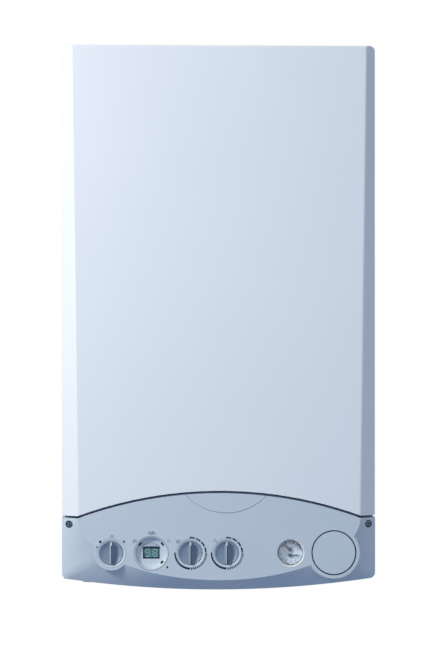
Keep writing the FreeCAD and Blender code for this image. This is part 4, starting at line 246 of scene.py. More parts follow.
# Screws: the hexagon's radius, its height and the collar's radius
DOOR_SCREW = (4.6 * MM, 5.0 * MM, 6.0 * MM)
FAN_SCREW = (3.6 * MM, 4.0 * MM, 4.8 * MM)
SHEET_SCREW = (3.4 * MM, 2.6 * MM, 4.6 * MM)
# Union nuts: the same, with each radius measured from the pipe's wall
HEATING_NUT = (7.0 * MM, 13.0 * MM, 5.0 * MM)
TAP_NUT = (6.0 * MM, 12.0 * MM, 4.0 * MM)
GAS_NUT = (7.0 * MM, 12.0 * MM, 5.0 * MM)
PIPE_NUT = (6.0 * MM, 14.0 * MM, 4.5 * MM)
COLLAR_SIDES = 24
COLLAR_SHARE = 0.4

# Where the screws sit
DOOR_SCREW_COUNT = 8
DOOR_SCREW_START_DEG = 22.5
DOOR_EDGE = 7.0 * MM
FAN_SCREW_COUNT = 4
FAN_SCREW_START_DEG = 45
FAN_CLEARANCE = 9.0 * MM
BACK_EDGE = 7.0 * MM
BACK_SHARES = (0.08, 0.36, 0.64, 0.92)
TRAY_EDGE = 14.0 * MM

FORWARDS = (math.pi / 2, 0, 0)
BACKWARDS = (-math.pi / 2, 0, 0)
DOWNWARDS = (math.pi, 0, 0)
UPWARDS = (0, 0, 0)

facet_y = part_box("badge_plate")[0].y
base_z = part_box("fascia")[0].z


def centre(node):
    low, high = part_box(node)
    return (low + high) / 2


def beside(node, right, up):
    """A place on the front, in millimetres right of a node's middle and above it."""
    spot = centre(node)
    return spot.x + right * MM, spot.z + up * MM


def linear(hex_text):
    """A linear RGBA colour from sRGB hex."""
    shares = [int(hex_text[i:i + 2], 16) / 255 for i in (1, 3, 5)]
    return (*[s / 12.92 if s <= 0.04045 else ((s + 0.055) / 1.055) ** 2.4 for s in shares], 1.0)


def add(tree, kind, settings=None, links=None):
    """Adds one node: settings go to its sockets or properties, links feed its sockets."""
    node = tree.nodes.new(kind)
    settings = settings or {}
    properties = [key for key in settings if isinstance(key, str) and key not in node.inputs]
    for key in properties:
        setattr(node, key, settings[key])
    for key, value in settings.items():
        if key not in properties:
            node.inputs[key].default_value = value
    for key, socket in (links or {}).items():
        tree.links.new(socket, node.inputs[key])
    return node


def empty_material(name):
    material = bpy.data.materials.new(name)
    material.use_nodes = True
    material.node_tree.nodes.clear()
    return material, material.node_tree


def surface(name, shades, patch, grain, depth, rough, stretch=(1.0, 1.0, 1.0), sockets=None):
    """A finish with drifting colour, patchy gloss and a grain, with its sizes in millimetres.

    Real grains of about a tenth of a millimetre are drawn several times coarser, to show.
    """
    material, tree = empty_material(name)
    place = add(tree, "ShaderNodeTexCoord")
    drawn = add(tree, "ShaderNodeMapping", {"Scale": stretch}, {"Vector": place.outputs["Object"]})
    patches = add(tree, "ShaderNodeTexNoise", {"Scale": 1 / (patch * MM), "Detail": 3.0},
                  {"Vector": drawn.outputs["Vector"]})
    grains = add(tree, "ShaderNodeTexNoise", {"Scale": 1 / (grain * MM), "Detail": 2.0},
                 {"Vector": drawn.outputs["Vector"]})
    tint = add(tree, "ShaderNodeMix",
               {"data_type": "RGBA", 6: linear(shades[0]), 7: linear(shades[1])},
               {0: patches.outputs["Fac"]})
    gloss = add(tree, "ShaderNodeMapRange", {"To Min": rough[0], "To Max": rough[1]},
                {"Value": patches.outputs["Fac"]})
    edges = add(tree, "ShaderNodeBevel", {"Radius": EDGE_ROUND, "samples": 4})
    relief = add(tree, "ShaderNodeBump", {"Strength": 1.0, "Distance": depth * MM},
                 {"Height": grains.outputs["Fac"], "Normal": edges.outputs["Normal"]})
    shader = add(tree, "ShaderNodeBsdfPrincipled", sockets, {
        "Base Color": tint.outputs[2], "Roughness": gloss.outputs["Result"],
        "Normal": relief.outputs["Normal"]})
    add(tree, "ShaderNodeOutputMaterial", None, {"Surface": shader.outputs["BSDF"]})
    return material


DULL = {"Specular IOR Level": 0.1}
METAL = {"Metallic": 1.0}

# Stoved enamel on steel sheet: even and satin, with a faint orange peel
enamel = surface("stoved_enamel", ("#d6e0e9", "#dbe5ee"), patch=180, grain=5.0, depth=0.012,
                 rough=(0.36, 0.42), sockets={"Coat Weight": 0.15})
# Injection-moulded ABS: a fine spark-eroded grain that takes the shine off
fascia_abs = surface("moulded_abs", ("#b6c5d3", "#bccbd8"), patch=60, grain=0.9, depth=0.02,
                     rough=(0.40, 0.48))
# The knobs' ABS is the same moulding, dyed darker and a little glossier
knob_abs = surface("dyed_abs", ("#8092a7", "#889aae"), patch=20, grain=0.8, depth=0.010,
                   rough=(0.38, 0.46), sockets={"Specular IOR Level": 0.2})
# The info key's ABS: between the fascia and the knobs
key_abs = surface("key_abs", ("#9fb0c4", "#a7b8cb"), patch=12, grain=0.8, depth=0.010,
                  rough=(0.40, 0.48))
# The display dish is polished, so its lower side shines
polished_abs = surface("polished_abs", ("#bccad8", "#c2d0dd"), patch=30, grain=0.9, depth=0.003,
                       rough=(0.24, 0.30))
# ABS of the gauge's rim, whiter than the fascia under it: painted highlight, the brightest line on
# the fascia
rim_abs_painted_highlight = surface("rim_abs_painted_highlight", ("#e4ebf1", "#eef3f7"), patch=8, grain=0.6, depth=0.006,
                    rough=(0.35, 0.42))
# Pale ABS of the pointer tips in the knobs' fins; the pale line along each crest is painted
# highlight
pale_abs_and_painted_highlight = surface("pale_abs_and_painted_highlight", ("#b9c7d6", "#c3d0dd"), patch=8, grain=0.6, depth=0.006,
                   rough=(0.35, 0.42))
# Black ABS of the gauge case, the motor and the rotary controls: dull, as moulded
black_abs = surface("black_abs", ("#10151f", "#181e2a"), patch=12, grain=0.7, depth=0.02,
                    rough=(0.42, 0.55))
# Red ABS of the relief valve's knob: glossy, as moulded
red_abs = surface("red_abs", ("#9e1c17", "#b0261f"), patch=8, grain=0.7, depth=0.008,
                  rough=(0.28, 0.36))
# Smoked windows of the indicator lights: nearly black until they are lit
smoked_window = surface("smoked_polycarbonate", ("#0b1122", "#10172a"), patch=4, grain=0.5,
                        depth=0.002, rough=(0.3, 0.4), sockets=DULL)
# Glass-filled nylon: dark grey with the pale flow of its fibres
glass_nylon = surface("glass_filled_nylon", ("#3c4045", "#54595f"), patch=14, grain=1.2,
                      depth=0.04, rough=(0.5, 0.62), stretch=(1, 1, 0.3))
# Polypropylene pipe and mouldings: white and waxy
white_pp = surface("polypropylene", ("#dfe1df", "#eceeec"), patch=40, grain=1.5, depth=0.02,
                   rough=(0.38, 0.48))

# Printing ink: dense navy with a slightly uneven coat; it also paints shade in the clock cover's
# gap, in the screws' recesses and round the display window
ink_and_painted_shade = surface("navy_ink", ("#16213c", "#1e2a46"), patch=3, grain=0.5, depth=0.004,
              rough=(0.5, 0.6), sockets=DULL)
# Grey ink of the word and of fine lines: softer than the navy. Its band on the gauge dial is
# painted shadow
grey_ink_and_painted_shadow = surface("grey_ink_and_painted_shadow", ("#5d6d85", "#68788f"), patch=3, grain=0.5, depth=0.004,
                   rough=(0.5, 0.6))
# Pale ink of the faintest signs: only just darker than the fascia
pale_ink = surface("pale_ink", ("#90a0b4", "#9aaabc"), patch=3, grain=0.5, depth=0.004,
                   rough=(0.5, 0.6))
# Navy lacquer of the gauge pointers: dark and dull; the navy line by each knob's crest is painted
# shade
navy_lacquer_and_painted_shade = surface("navy_lacquer_and_painted_shade", ("#1e2d4d", "#263657"), patch=4, grain=0.4, depth=0.004,
                       rough=(0.5, 0.6), sockets=DULL)
# Liquid crystal display: dark teal behind a clear sheet
lcd_glass = surface("lcd_glass", ("#2a5962", "#32646b"), patch=9, grain=0.6, depth=0.002,
                    rough=(0.12, 0.18), sockets={"Coat Weight": 0.5})
# Lit bars of the display: pale teal, soft against the dark sheet
lcd_segment = surface("lcd_segment", ("#719fa4", "#7ba9ad"), patch=4, grain=0.5, depth=0.002,
                      rough=(0.3, 0.4))
# Printed dial card: pale blue with a matt coat
dial_card = surface("dial_card", ("#bdd0e6", "#c6d8ec"), patch=10, grain=0.4, depth=0.004,
                    rough=(0.5, 0.6))

# Zinc-plated sheet: cool grey with a soft spangle
zinc = surface("zinc_plate", ("#9aa3aa", "#c0c7cc"), patch=9, grain=2.0, depth=0.006,
               rough=(0.28, 0.46), sockets=METAL)
# Blackened steel of the screws: a worn oxide coat with bare metal showing through
black_steel = surface("blackened_steel", ("#566377", "#6d7a8e"), patch=3, grain=0.5, depth=0.008,
                      rough=(0.35, 0.5), sockets={"Metallic": 0.8})
# Stainless sheet, drawn and brushed along its length
stainless = surface("stainless_sheet", ("#a9abab", "#c6c8c8"), patch=30, grain=0.9, depth=0.001,
                    rough=(0.22, 0.34), stretch=(0.06, 1, 1), sockets=METAL)
# Blasted aluminium casting: grey and sandy
cast_aluminium = surface("cast_aluminium", ("#9b9ea1", "#b9bcbe"), patch=16, grain=1.1,
                         depth=0.06, rough=(0.45, 0.62), sockets={"Metallic": 0.9})
# Painted iron casting: dark grey over a rough skin
cast_iron = surface("painted_iron", ("#2b2e31", "#3c4044"), patch=10, grain=1.6, depth=0.12,
                    rough=(0.45, 0.6))
# Machined brass: bright yellow, with fine turning lines round the nuts
brass = surface("machined_brass", ("#b08d4a", "#cbaa64"), patch=8, grain=0.6, depth=0.008,
                rough=(0.2, 0.34), stretch=(1, 1, 4), sockets=METAL)
# Drawn copper tube: bright, with brown tarnish in patches
copper = surface("drawn_copper", ("#8f5237", "#cf8a63"), patch=24, grain=0.8, depth=0.006,
                 rough=(0.2, 0.42), stretch=(1, 1, 0.4), sockets=METAL)
# Moulded rubber: nearly black, with almost no shine
rubber = surface("moulded_rubber", ("#17181a", "#222427"), patch=15, grain=0.8, depth=0.02,
                 rough=(0.6, 0.75))
# Soft sealing rubber: a dull dark line along the arch, its navy painted shade of the gap under the
# cover
navy_rubber_painted_shade = surface("seal_rubber_painted_shade", ("#2b3a5a", "#334365"), patch=15, grain=0.8, depth=0.02,
                      rough=(0.6, 0.75))
# Red enamel of the pressure vessel: sprayed thick and glossy
red_enamel = surface("red_enamel", ("#7f1814", "#97211b"), patch=60, grain=3.0, depth=0.012,
                     rough=(0.25, 0.34), sockets={"Coat Weight": 0.3})
# Glazed ceramic of the electrodes: cream with a wet shine
ceramic = surface("glazed_ceramic", ("#d9d4c6", "#e8e4d8"), patch=6, grain=0.8, depth=0.004,
                  rough=(0.12, 0.2))
# Circuit board: green lacquer over copper tracks
board_lacquer = surface("board_lacquer", ("#154328", "#2c6a41"), patch=2.4, grain=1.2, depth=0.03,
                        rough=(0.3, 0.42), stretch=(0.35, 1, 1))


def clear_lens():
    """Clear polycarbonate, coated against glare: it lets light through to the dial."""
    material, tree = empty_material("clear_polycarbonate")
    place = add(tree, "ShaderNodeTexCoord")
    haze = add(tree, "ShaderNodeTexNoise", {"Scale": 1 / (6 * MM)},
               {"Vector": place.outputs["Object"]})
    gloss = add(tree, "ShaderNodeMapRange", {"To Min": 0.02, "To Max": 0.06},
                {"Value": haze.outputs["Fac"]})
    shader = add(tree, "ShaderNodeBsdfPrincipled", {
        "Base Color": linear("#f2f6f9"), "IOR": 1.58, "Specular IOR Level": 0.12,
        "Transmission Weight": 1.0}, {"Roughness": gloss.outputs["Result"]})
    lit = add(tree, "ShaderNodeBsdfTransparent")
    path = add(tree, "ShaderNodeLightPath")
    both = add(tree, "ShaderNodeMixShader", None, {
        0: path.outputs["Is Shadow Ray"], 1: shader.outputs["BSDF"], 2: lit.outputs["BSDF"]})
    add(tree, "ShaderNodeOutputMaterial", None, {"Surface": both.outputs["Shader"]})
    return material


FINISHES = {
    "case_paint": enamel, "fascia_plastic": fascia_abs, "knob_plastic": knob_abs,
    "dark_plastic": black_abs, "grey_plastic": glass_nylon, "white_plastic": white_pp,
    "lcd": lcd_glass, "clear": clear_lens(), "dial_white": dial_card,
    "pointer_black": navy_lacquer_and_painted_shade, "zinc_steel": zinc, "screw_steel": black_steel,
    "stainless": stainless, "cast_alu": cast_aluminium, "pump_iron": cast_iron, "brass": brass,
    "copper": copper, "rubber": rubber, "vessel_red": red_enamel, "knob_red": red_abs,
    "ceramic": ceramic, "board_green": board_lacquer,
}
OWN_FINISHES = {
    "info_button": key_abs, "display_bezel": polished_abs, "indicator_lights": smoked_window,
}


def dress_nodes():
    """Gives each CAD node its slot's finish, or its own."""
    slots = {part["node"]: part["material_slot"] for part in frame["record"]["subparts"]}
    for name, node in nodes.items():
        node.data.materials.clear()
        node.data.materials.append(OWN_FINISHES.get(name, FINISHES[slots[name]]))


def piece(name, mesh, body, material):
    """Puts a finished mesh on a body."""
    made = bpy.data.objects.new(name, mesh)
    bpy.context.scene.collection.objects.link(made)
    mesh.materials.clear()
    mesh.materials.append(material)
    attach(made, body)
    return made


def on_panel(name, mesh, material):
    piece(name, mesh, "control_panel", material)


def mesh_of(made):
    """A plain mesh from a working one."""
    mesh = bpy.data.meshes.new("shape")
    made.to_mesh(mesh)
    made.free()
    return mesh


def softened(mesh):
    mesh.shade_smooth()
    mesh.set_sharp_from_angle(angle=math.radians(SMOOTH_DEG))
    return mesh


def merged(meshes):
    made = bmesh.new()
    for mesh in meshes:
        made.from_mesh(mesh)
    return mesh_of(made)


def printed(outlines, y, thickness=INK_RISE):
    """Thin prisms from closed outlines in the front view, standing on the plane at y."""
    made = bmesh.new()
    for outline in outlines:
        face = made.faces.new([made.verts.new((x, y, z)) for x, z in outline])
        raised = bmesh.ops.extrude_face_region(made, geom=[face])
        front = [v for v in raised["geom"] if isinstance(v, bmesh.types.BMVert)]
        bmesh.ops.translate(made, verts=front, vec=(0, -thickness, 0))
    bmesh.ops.recalc_face_normals(made, faces=made.faces)
    return mesh_of(made)


def loft(loops, hollow=False):
    """A closed mesh through rings of points: its ends are capped, or the last meets the first."""
    made = bmesh.new()
    rings = [[made.verts.new(point) for point in loop] for loop in loops]
    for near, far in zip(rings, rings[1:] + rings[:1] if hollow else rings[1:]):
        for i in range(len(near)):
            made.faces.new((near[i - 1], near[i], far[i], far[i - 1]))
    if not hollow:
        made.faces.new(rings[0])
        made.faces.new(rings[-1])
    bmesh.ops.recalc_face_normals(made, faces=made.faces)
    return softened(mesh_of(made))


def full_turn(count):
    """Equal steps round a circle, in radians."""
    return [2 * math.pi * step / count for step in range(count)]


def circle_points(place, radius, y, count, start_deg=0):
    turns = [math.radians(start_deg) + turn for turn in full_turn(count)]
    return [(place.x + radius * math.cos(turn), y, place.z + radius * math.sin(turn))
            for turn in turns]


def turned_ring(place, profile):
    """A ring turned about an axis from front to back, with its profile in radius and y."""
    return loft([circle_points(place, radius, y, ROUND_SIDES) for radius, y in profile],
                hollow=True)


def disc(x, z, radius):
    return [(x + radius * math.cos(turn), z + radius * math.sin(turn))
            for turn in full_turn(DISC_STEPS)]


def bar(x, z, width, height):
    return [(x - width / 2, z - height / 2), (x + width / 2, z - height / 2),
            (x + width / 2, z + height / 2), (x - width / 2, z + height / 2)]


def band(x, z, radius, widths, degrees, count=BAND_STEPS):
    """Part of a ring, with its width running from one value to another."""
    outer, inner = [], []
    for step in range(count + 1):
        share = step / count
        turn = math.radians(degrees[0] + (degrees[1] - degrees[0]) * share)
        half = (widths[0] + (widths[1] - widths[0]) * share) / 2
        outer.append((x + (radius + half) * math.cos(turn), z + (radius + half) * math.sin(turn)))
        inner.append((x + (radius - half) * math.cos(turn), z + (radius - half) * math.sin(turn)))
    return outer + inner[::-1]


def start_tree(name, sockets):
    """A geometry nodes tree with named inputs, and the outputs that carry them."""
    tree = bpy.data.node_groups.new(name, "GeometryNodeTree")
    for key, kind in sockets.items():
        tree.interface.new_socket(key, in_out="INPUT", socket_type="NodeSocket" + kind)
    tree.interface.new_socket("Geometry", in_out="OUTPUT", socket_type="NodeSocketGeometry")
    return tree, add(tree, "NodeGroupInput").outputs


def end_tree(tree, placed, finish):
    """Makes the placed copies real, in one finish."""
    real = add(tree, "GeometryNodeRealizeInstances", None,
               {"Geometry": placed.outputs["Instances"]})
    coated = add(tree, "GeometryNodeSetMaterial", None, {
        "Geometry": real.outputs["Geometry"], "Material": finish})
    add(tree, "NodeGroupOutput", None, {"Geometry": coated.outputs["Geometry"]})
    return tree


def marks_tree():
    """Geometry nodes: small flat marks along an arc in the front view."""
    tree, given = start_tree("marks_on_an_arc", {
        "Radius": "Float", "Start": "Float", "Sweep": "Float", "Along": "Float",
        "Across": "Float", "Thickness": "Float", "Count": "Int", "Finish": "Material"})
    path = add(tree, "GeometryNodeCurveArc", {"mode": "RADIUS"}, {
        "Resolution": given["Count"], "Radius": given["Radius"],
        "Start Angle": given["Start"], "Sweep Angle": given["Sweep"]})
    points = add(tree, "GeometryNodeCurveToPoints", {"mode": "EVALUATED"},
                 {"Curve": path.outputs["Curve"]})
    place = add(tree, "GeometryNodeInputPosition")
    spread = add(tree, "ShaderNodeSeparateXYZ", None, {"Vector": place.outputs["Position"]})
    turn = add(tree, "ShaderNodeMath", {"operation": "ARCTAN2"},
               {0: spread.outputs["Y"], 1: spread.outputs["X"]})
    back = add(tree, "ShaderNodeMath", {"operation": "MULTIPLY", 1: -1.0}, {0: turn.outputs[0]})
    facing = add(tree, "ShaderNodeCombineXYZ", None, {"Y": back.outputs[0]})
    attribute = {"data_type": "FLOAT_VECTOR", "Name": "facing"}
    stored = add(tree, "GeometryNodeStoreNamedAttribute", attribute, {
        "Geometry": points.outputs["Points"], "Value": facing.outputs["Vector"]})
    upright = add(tree, "GeometryNodeTransform", {"Rotation": Euler(FORWARDS)},
                  {"Geometry": stored.outputs["Geometry"]})
    read = add(tree, "GeometryNodeInputNamedAttribute", attribute)
    size = add(tree, "ShaderNodeCombineXYZ", None, {
        "X": given["Across"], "Y": given["Thickness"], "Z": given["Along"]})
    mark = add(tree, "GeometryNodeMeshCube", None, {"Size": size.outputs["Vector"]})
    placed = add(tree, "GeometryNodeInstanceOnPoints", None, {
        "Points": upright.outputs["Geometry"], "Instance": mark.outputs["Mesh"],
        "Rotation": read.outputs["Attribute"]})
    return end_tree(tree, placed, given["Finish"])


def heads_tree():
    """Geometry nodes: a hexagon on a round collar at every point, all facing one way."""
    tree, given = start_tree("hexagon_heads", {
        "Points": "Geometry", "Hexagon": "Float", "Height": "Float", "Collar": "Float",
        "Collar Height": "Float", "Facing": "Vector", "Finish": "Material"})
    collar = add(tree, "GeometryNodeMeshCylinder", {"Vertices": COLLAR_SIDES}, {
        "Radius": given["Collar"], "Depth": given["Collar Height"]})
    hexagon = add(tree, "GeometryNodeMeshCylinder", {"Vertices": 6}, {
        "Radius": given["Hexagon"], "Depth": given["Height"]})
    lift = add(tree, "ShaderNodeMath", {"operation": "DIVIDE", 1: 2.0}, {0: given["Height"]})
    up = add(tree, "ShaderNodeCombineXYZ", None, {"Z": lift.outputs[0]})
    raised = add(tree, "GeometryNodeTransform", None, {
        "Geometry": hexagon.outputs["Mesh"], "Translation": up.outputs["Vector"]})
    head = add(tree, "GeometryNodeJoinGeometry")
    tree.links.new(collar.outputs["Mesh"], head.inputs[0])
    tree.links.new(raised.outputs["Geometry"], head.inputs[0])
    placed = add(tree, "GeometryNodeInstanceOnPoints", None, {
        "Points": given["Points"], "Instance": head.outputs["Geometry"],
        "Rotation": given["Facing"]})
    return end_tree(tree, placed, given["Finish"])


MARKS = marks_tree()
HEADS = heads_tree()


def evaluated_mesh(holder):
    """The finished mesh of a working object, which is then removed."""
    bpy.context.scene.collection.objects.link(holder)
    ready = holder.evaluated_get(bpy.context.evaluated_depsgraph_get())
    mesh = bpy.data.meshes.new_from_object(ready)
    holder.modifiers.clear()
    bpy.data.objects.remove(holder)
    return mesh


def grown(tree, inputs, points=()):
    """Runs a geometry nodes tree on some points with its named inputs."""
    start = bpy.data.meshes.new("points")
    start.from_pydata(points, [], [])
    holder = bpy.data.objects.new("points", start)
    modifier = holder.modifiers.new("tree", "NODES")
    modifier.node_group = tree
    for item in tree.interface.items_tree:
        if item.in_out == "INPUT" and item.name in inputs:
            modifier[item.identifier] = inputs[item.name]
    return evaluated_mesh(holder)


def arc_marks(place, y, radius, degrees, count, along, across):
    """Inked marks along an arc round a place, on the plane at y."""
    mesh = grown(MARKS, {
        "Radius": radius, "Start": math.radians(degrees[0]),
        "Sweep": math.radians(degrees[1] - degrees[0]), "Count": count,
        "Along": along, "Across": across, "Thickness": INK_RISE, "Finish": ink_and_painted_shade})
    where = Vector((place.x, y - INK_RISE / 2, place.z))
    for vertex in mesh.vertices:
        vertex.co += where
    return mesh


def words(text, x, z, size, y):
    """Printed characters centred at a place on the front, as thin solid letters."""
    curve = bpy.data.curves.new(text, "FONT")
    curve.body = text
    curve.size = size
    curve.align_x, curve.align_y = "CENTER", "CENTER"
    curve.extrude = INK_RISE / 2
    curve.offset = size * LETTER_WEIGHT
    mesh = evaluated_mesh(bpy.data.objects.new(text, curve))
    for vertex in mesh.vertices:
        along, up, out = vertex.co
        vertex.co = (x + along, y - INK_RISE / 2 - out, z + up)
    return mesh


def knob_scales():
    """Round each temperature knob: a swelling band, a row of dots and a row of dashes."""
    for control in ("heating", "hot_water"):
        spot = centre(control + "_knob")
        swell = [band(spot.x, spot.z, SCALE_RADIUS, SWELL_WIDTHS, SWELL_DEG)]
        on_panel(control + "_scale_band", printed(swell, facet_y), ink_and_painted_shade)
        dots = arc_marks(spot, facet_y, DOTS_RADIUS, DOTS_DEG, DOTS_COUNT, DOT_ALONG, DOT_ACROSS)
        on_panel(control + "_scale_dots", dots, ink_and_painted_shade)
        dashes = []
        for start in DASH_STARTS_DEG:
            dashes.append(band(spot.x, spot.z, SCALE_RADIUS, (DASH_WIDTH, DASH_WIDTH),
                               (start, start + DASH_SWEEP_DEG), DASH_STEPS))
        on_panel(control + "_scale_dashes", printed(dashes, facet_y), ink_and_painted_shade)


def knob(name):
    """A knob whose dished face runs up into a fin, its conical ring and the fin's inlays; the
    lines along the crest are painted highlight and painted shade.
    """
    low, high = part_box(name)
    place = centre(name)
    rim = low.y + RIM_DROP
    outer = (high.x - low.x) / 2
    radius = outer - KNOB_INSET
    face = radius - RIM_ROUND

    def crest(x, z):
        return FIN_RISE * (1 - FIN_END_DROP * (z / radius) ** FIN_END_POWER)

    def waist(x, z):
        return crest(x, z) / 2

    def dished(x, z):
        return -FACE_DISH * (1 - (math.hypot(x, z) / face) ** FACE_POWER)

    def edge(x, z):
        return -RIM_ROUND

    def back(x, z):
        return rim - high.y

    def ring(half_width, half_length, lift):
        loop = []
        for turn in full_turn(ROUND_SIDES):
            x, z = half_width * math.cos(turn), half_length * math.sin(turn)
            loop.append((place.x + x, rim - lift(x, z), place.z + z))
        return loop

    loops = [ring(FIN_CREST * share, face * CREST_REACH, crest) for share in CREST_SHARES]
    loops.append(ring(FIN_WAIST, face * WAIST_REACH, waist))
    for share in FACE_STEPS:
        half_length = face * (FOOT_REACH + (1 - FOOT_REACH) * share)
        loops.append(ring(FIN_FOOT + (face - FIN_FOOT) * share, half_length, dished))
    loops += [ring(radius, radius, edge), ring(radius, radius, back)]
    made = piece(name + "_moulding", loft(loops), name, knob_abs)
    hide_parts(name)

    inner, wall = radius + RING_GAP, outer + RING_WALL
    seat = turned_ring(place, [
        (inner, facet_y + RING_DROP), (outer + RING_MOUTH, facet_y), (wall, facet_y + RING_FOOT),
        (wall, high.y), (inner, high.y)])
    on_panel(name + "_ring", seat, fascia_abs)

    def inlay(sides, ends):
        left, right = (FIN_CREST * side for side in sides)
        loops = []
        for step in range(INLAY_STEPS + 1):
            z = ends[0] + (ends[1] - ends[0]) * step / INLAY_STEPS
            front = rim - crest(0, z) - INK_RISE
            root = front + FIN_CREST
            corners = [(left, front), (right, front), (right, root), (left, root)]
            loops.append([(place.x + x, y, place.z + z) for x, y in corners])
        return loft(loops)

    tip = face * POINTER_REACH
    shoulder = tip - POINTER_LENGTH
    line_ends = (shoulder - INK_RISE, -face * LINE_REACH)
    pointer = inlay(POINTER_SIDES, (tip, shoulder))
    piece(name + "_pointer", pointer, name, pale_abs_and_painted_highlight)
    # Painted highlight along the left of the crest, and painted shade along its right
    line = inlay(PAINTED_HIGHLIGHT_SIDES, line_ends)
    piece(name + "_crest_painted_highlight", line, name, pale_abs_and_painted_highlight)
    line = inlay(PAINTED_SHADE_SIDES, line_ends)
    piece(name + "_fin_painted_shade", line, name, navy_lacquer_and_painted_shade)


def segments(x, z, unlit):
    """The lit bars of a digit: three across, then two at the left and two at the right."""
    across, up = DIGIT_WIDTH - DIGIT_STROKE, (DIGIT_HEIGHT - DIGIT_STROKE) / 2
    bars = [bar(x, z + up * level, across + DIGIT_STROKE - DIGIT_GAP, DIGIT_STROKE)
            for level in (-1, 0, 1)]
    for side in (-0.5, 0.5):
        for level in (-0.5, 0.5):
            bars.append(bar(x + across * side, z + up * level, DIGIT_STROKE,
                            up + DIGIT_STROKE - DIGIT_GAP))
    return [lit for number, lit in enumerate(bars) if number not in unlit]


def display():
    """Painted shadow round the window, thicker above and at the left; its two digits and the word
    above the dish.
    """
    spot = centre("lcd_module")
    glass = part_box("lcd_module")[0].y
    # Painted shadow of the window's edge: thicker above and at the left
    edges = []
    for side, thick in ((1, WINDOW_SHADOW_THICK), (-1, WINDOW_SHADOW_THIN)):
        edges.append(bar(spot.x, spot.z + side * (LCD_HEIGHT - thick) / 2, LCD_WIDTH, thick))
    for side, thick in ((-1, WINDOW_SHADOW_THICK), (1, WINDOW_SHADOW_THIN)):
        edges.append(bar(spot.x + side * (LCD_WIDTH - thick) / 2, spot.z, thick, LCD_HEIGHT))
    on_panel("lcd_painted_shadow", printed(edges, glass), ink_and_painted_shade)
    digits = []
    for right, unlit in DIGITS:
        digits += segments(*beside("lcd_module", right, 0), unlit)
    on_panel("lcd_digits", printed(digits, glass), lcd_segment)
    word = words("info", *beside(*SIGN_PLACES["info_word"]), INFO_SIZE, facet_y)
    on_panel("info_word", word, grey_ink_and_painted_shadow)


def gap_lines():
    """Painted shadow in the clock cover's gap, a joint line round the dish, the boss's skirt, and
    painted shade in the screws' recesses and slots.
    """
    clock, dish = centre("clock_cover"), centre("display_bezel")
    low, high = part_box("clock_cover")
    # Painted shadow in the gap round the clock cover
    joint = [band(clock.x, clock.z, (high.x - low.x) / 2 + CLOCK_SHADOW_GAP,
                  (CLOCK_SHADOW_WIDTH, CLOCK_SHADOW_WIDTH), RING_DEG, RING_STEPS)]
    on_panel("clock_gap_painted_shadow", printed(joint, facet_y), ink_and_painted_shade)
    joint = [band(dish.x, dish.z, DISH_RIM_RADIUS, (DISH_JOINT_WIDTH, DISH_JOINT_WIDTH),
                  RING_DEG, RING_STEPS)]
    on_panel("dish_joint", printed(joint, facet_y), grey_ink_and_painted_shadow)
    foot = facet_y + SKIRT_DEPTH
    skirt = turned_ring(clock, [
        (BOSS_RADIUS, facet_y + INK_RISE), (BOSS_RADIUS + SKIRT_WIDTH, foot), (BOSS_RADIUS, foot)])
    on_panel("clock_boss_skirt", skirt, fascia_abs)
    low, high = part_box("panel_screws")
    head = (high.z - low.z) / 2
    length, width, recess = head * SLOT_LENGTH, head * SLOT_WIDTH, head * RECESS_WIDTH
    z = low.z + head
    slots = []
    # Painted shade of each screw's recess and cross slot
    for x in (low.x + head, high.x - head):
        slots.append(band(x, z, head * RECESS_RADIUS, (recess, recess), RING_DEG))
        slots += [bar(x, z, length, width), bar(x, z, width, length)]
    on_panel("screw_painted_shade", printed(slots, low.y), ink_and_painted_shade)


def arch_seal():
    """A rubber strip on the fascia's upper edge, just short of the cover; its navy is painted
    shade of the gap.
    """
    radius = (ARCH_HALF ** 2 + ARCH_RISE ** 2) / (2 * ARCH_RISE)
    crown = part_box("fascia")[1].z
    reach = math.degrees(math.asin(ARCH_HALF / radius)) - SEAL_END_DEG
    strip = [band(0.0, crown - radius, radius + SEAL_WIDTH / 2, (SEAL_WIDTH, SEAL_WIDTH),
                  (90 - reach, 90 + reach), SEAL_STEPS)]
    mesh = printed(strip, facet_y + SEAL_DEPTH + SEAL_THICKNESS, SEAL_THICKNESS)
    on_panel("arch_seal", mesh, navy_rubber_painted_shade)


def bar_sign(bars, x, z):
    return [bar(x + right * MM, z + up * MM, width * MM, height * MM)
            for right, up, width, height in bars]


def flame_sign(x, z):
    """A drop-shaped flame."""
    outline = []
    for turn in full_turn(FLAME_STEPS):
        pinch = 1 - FLAME_PINCH * max(math.sin(turn), 0)
        outline.append((x + FLAME_WIDTH * math.cos(turn) * pinch,
                        z + FLAME_HEIGHT * math.sin(turn)))
    return outline


def signs():
    """The small printed signs round the controls."""
    at = {name: beside(*place) for name, place in SIGN_PLACES.items()}
    dark = [disc(*at["left_dot"], LEFT_DOT_RADIUS), bar(*at["left_dash"], *LEFT_DASH),
            flame_sign(*at["flame"])]
    on_panel("dark_signs", printed(dark, facet_y), ink_and_painted_shade)
    top_ring = band(*at["top_ring"], TOP_RING_RADIUS, (TOP_RING_WIDTH, TOP_RING_WIDTH),
                    TOP_RING_DEG)
    grey = [top_ring, disc(*at["right_dot"], RIGHT_DOT_RADIUS)]
    on_panel("grey_signs", printed(grey, facet_y), grey_ink_and_painted_shadow)
    pale = bar_sign(RADIATOR_BARS, *at["window_radiator"])
    pale += bar_sign(TAP_BARS, *at["window_tap"])
    pale += bar_sign(RADIATOR_BARS, *at["heating_radiator"])
    pale += bar_sign(TAP_BARS, *at["hot_water_tap"])
    on_panel("pale_signs", printed(pale, facet_y), pale_ink)


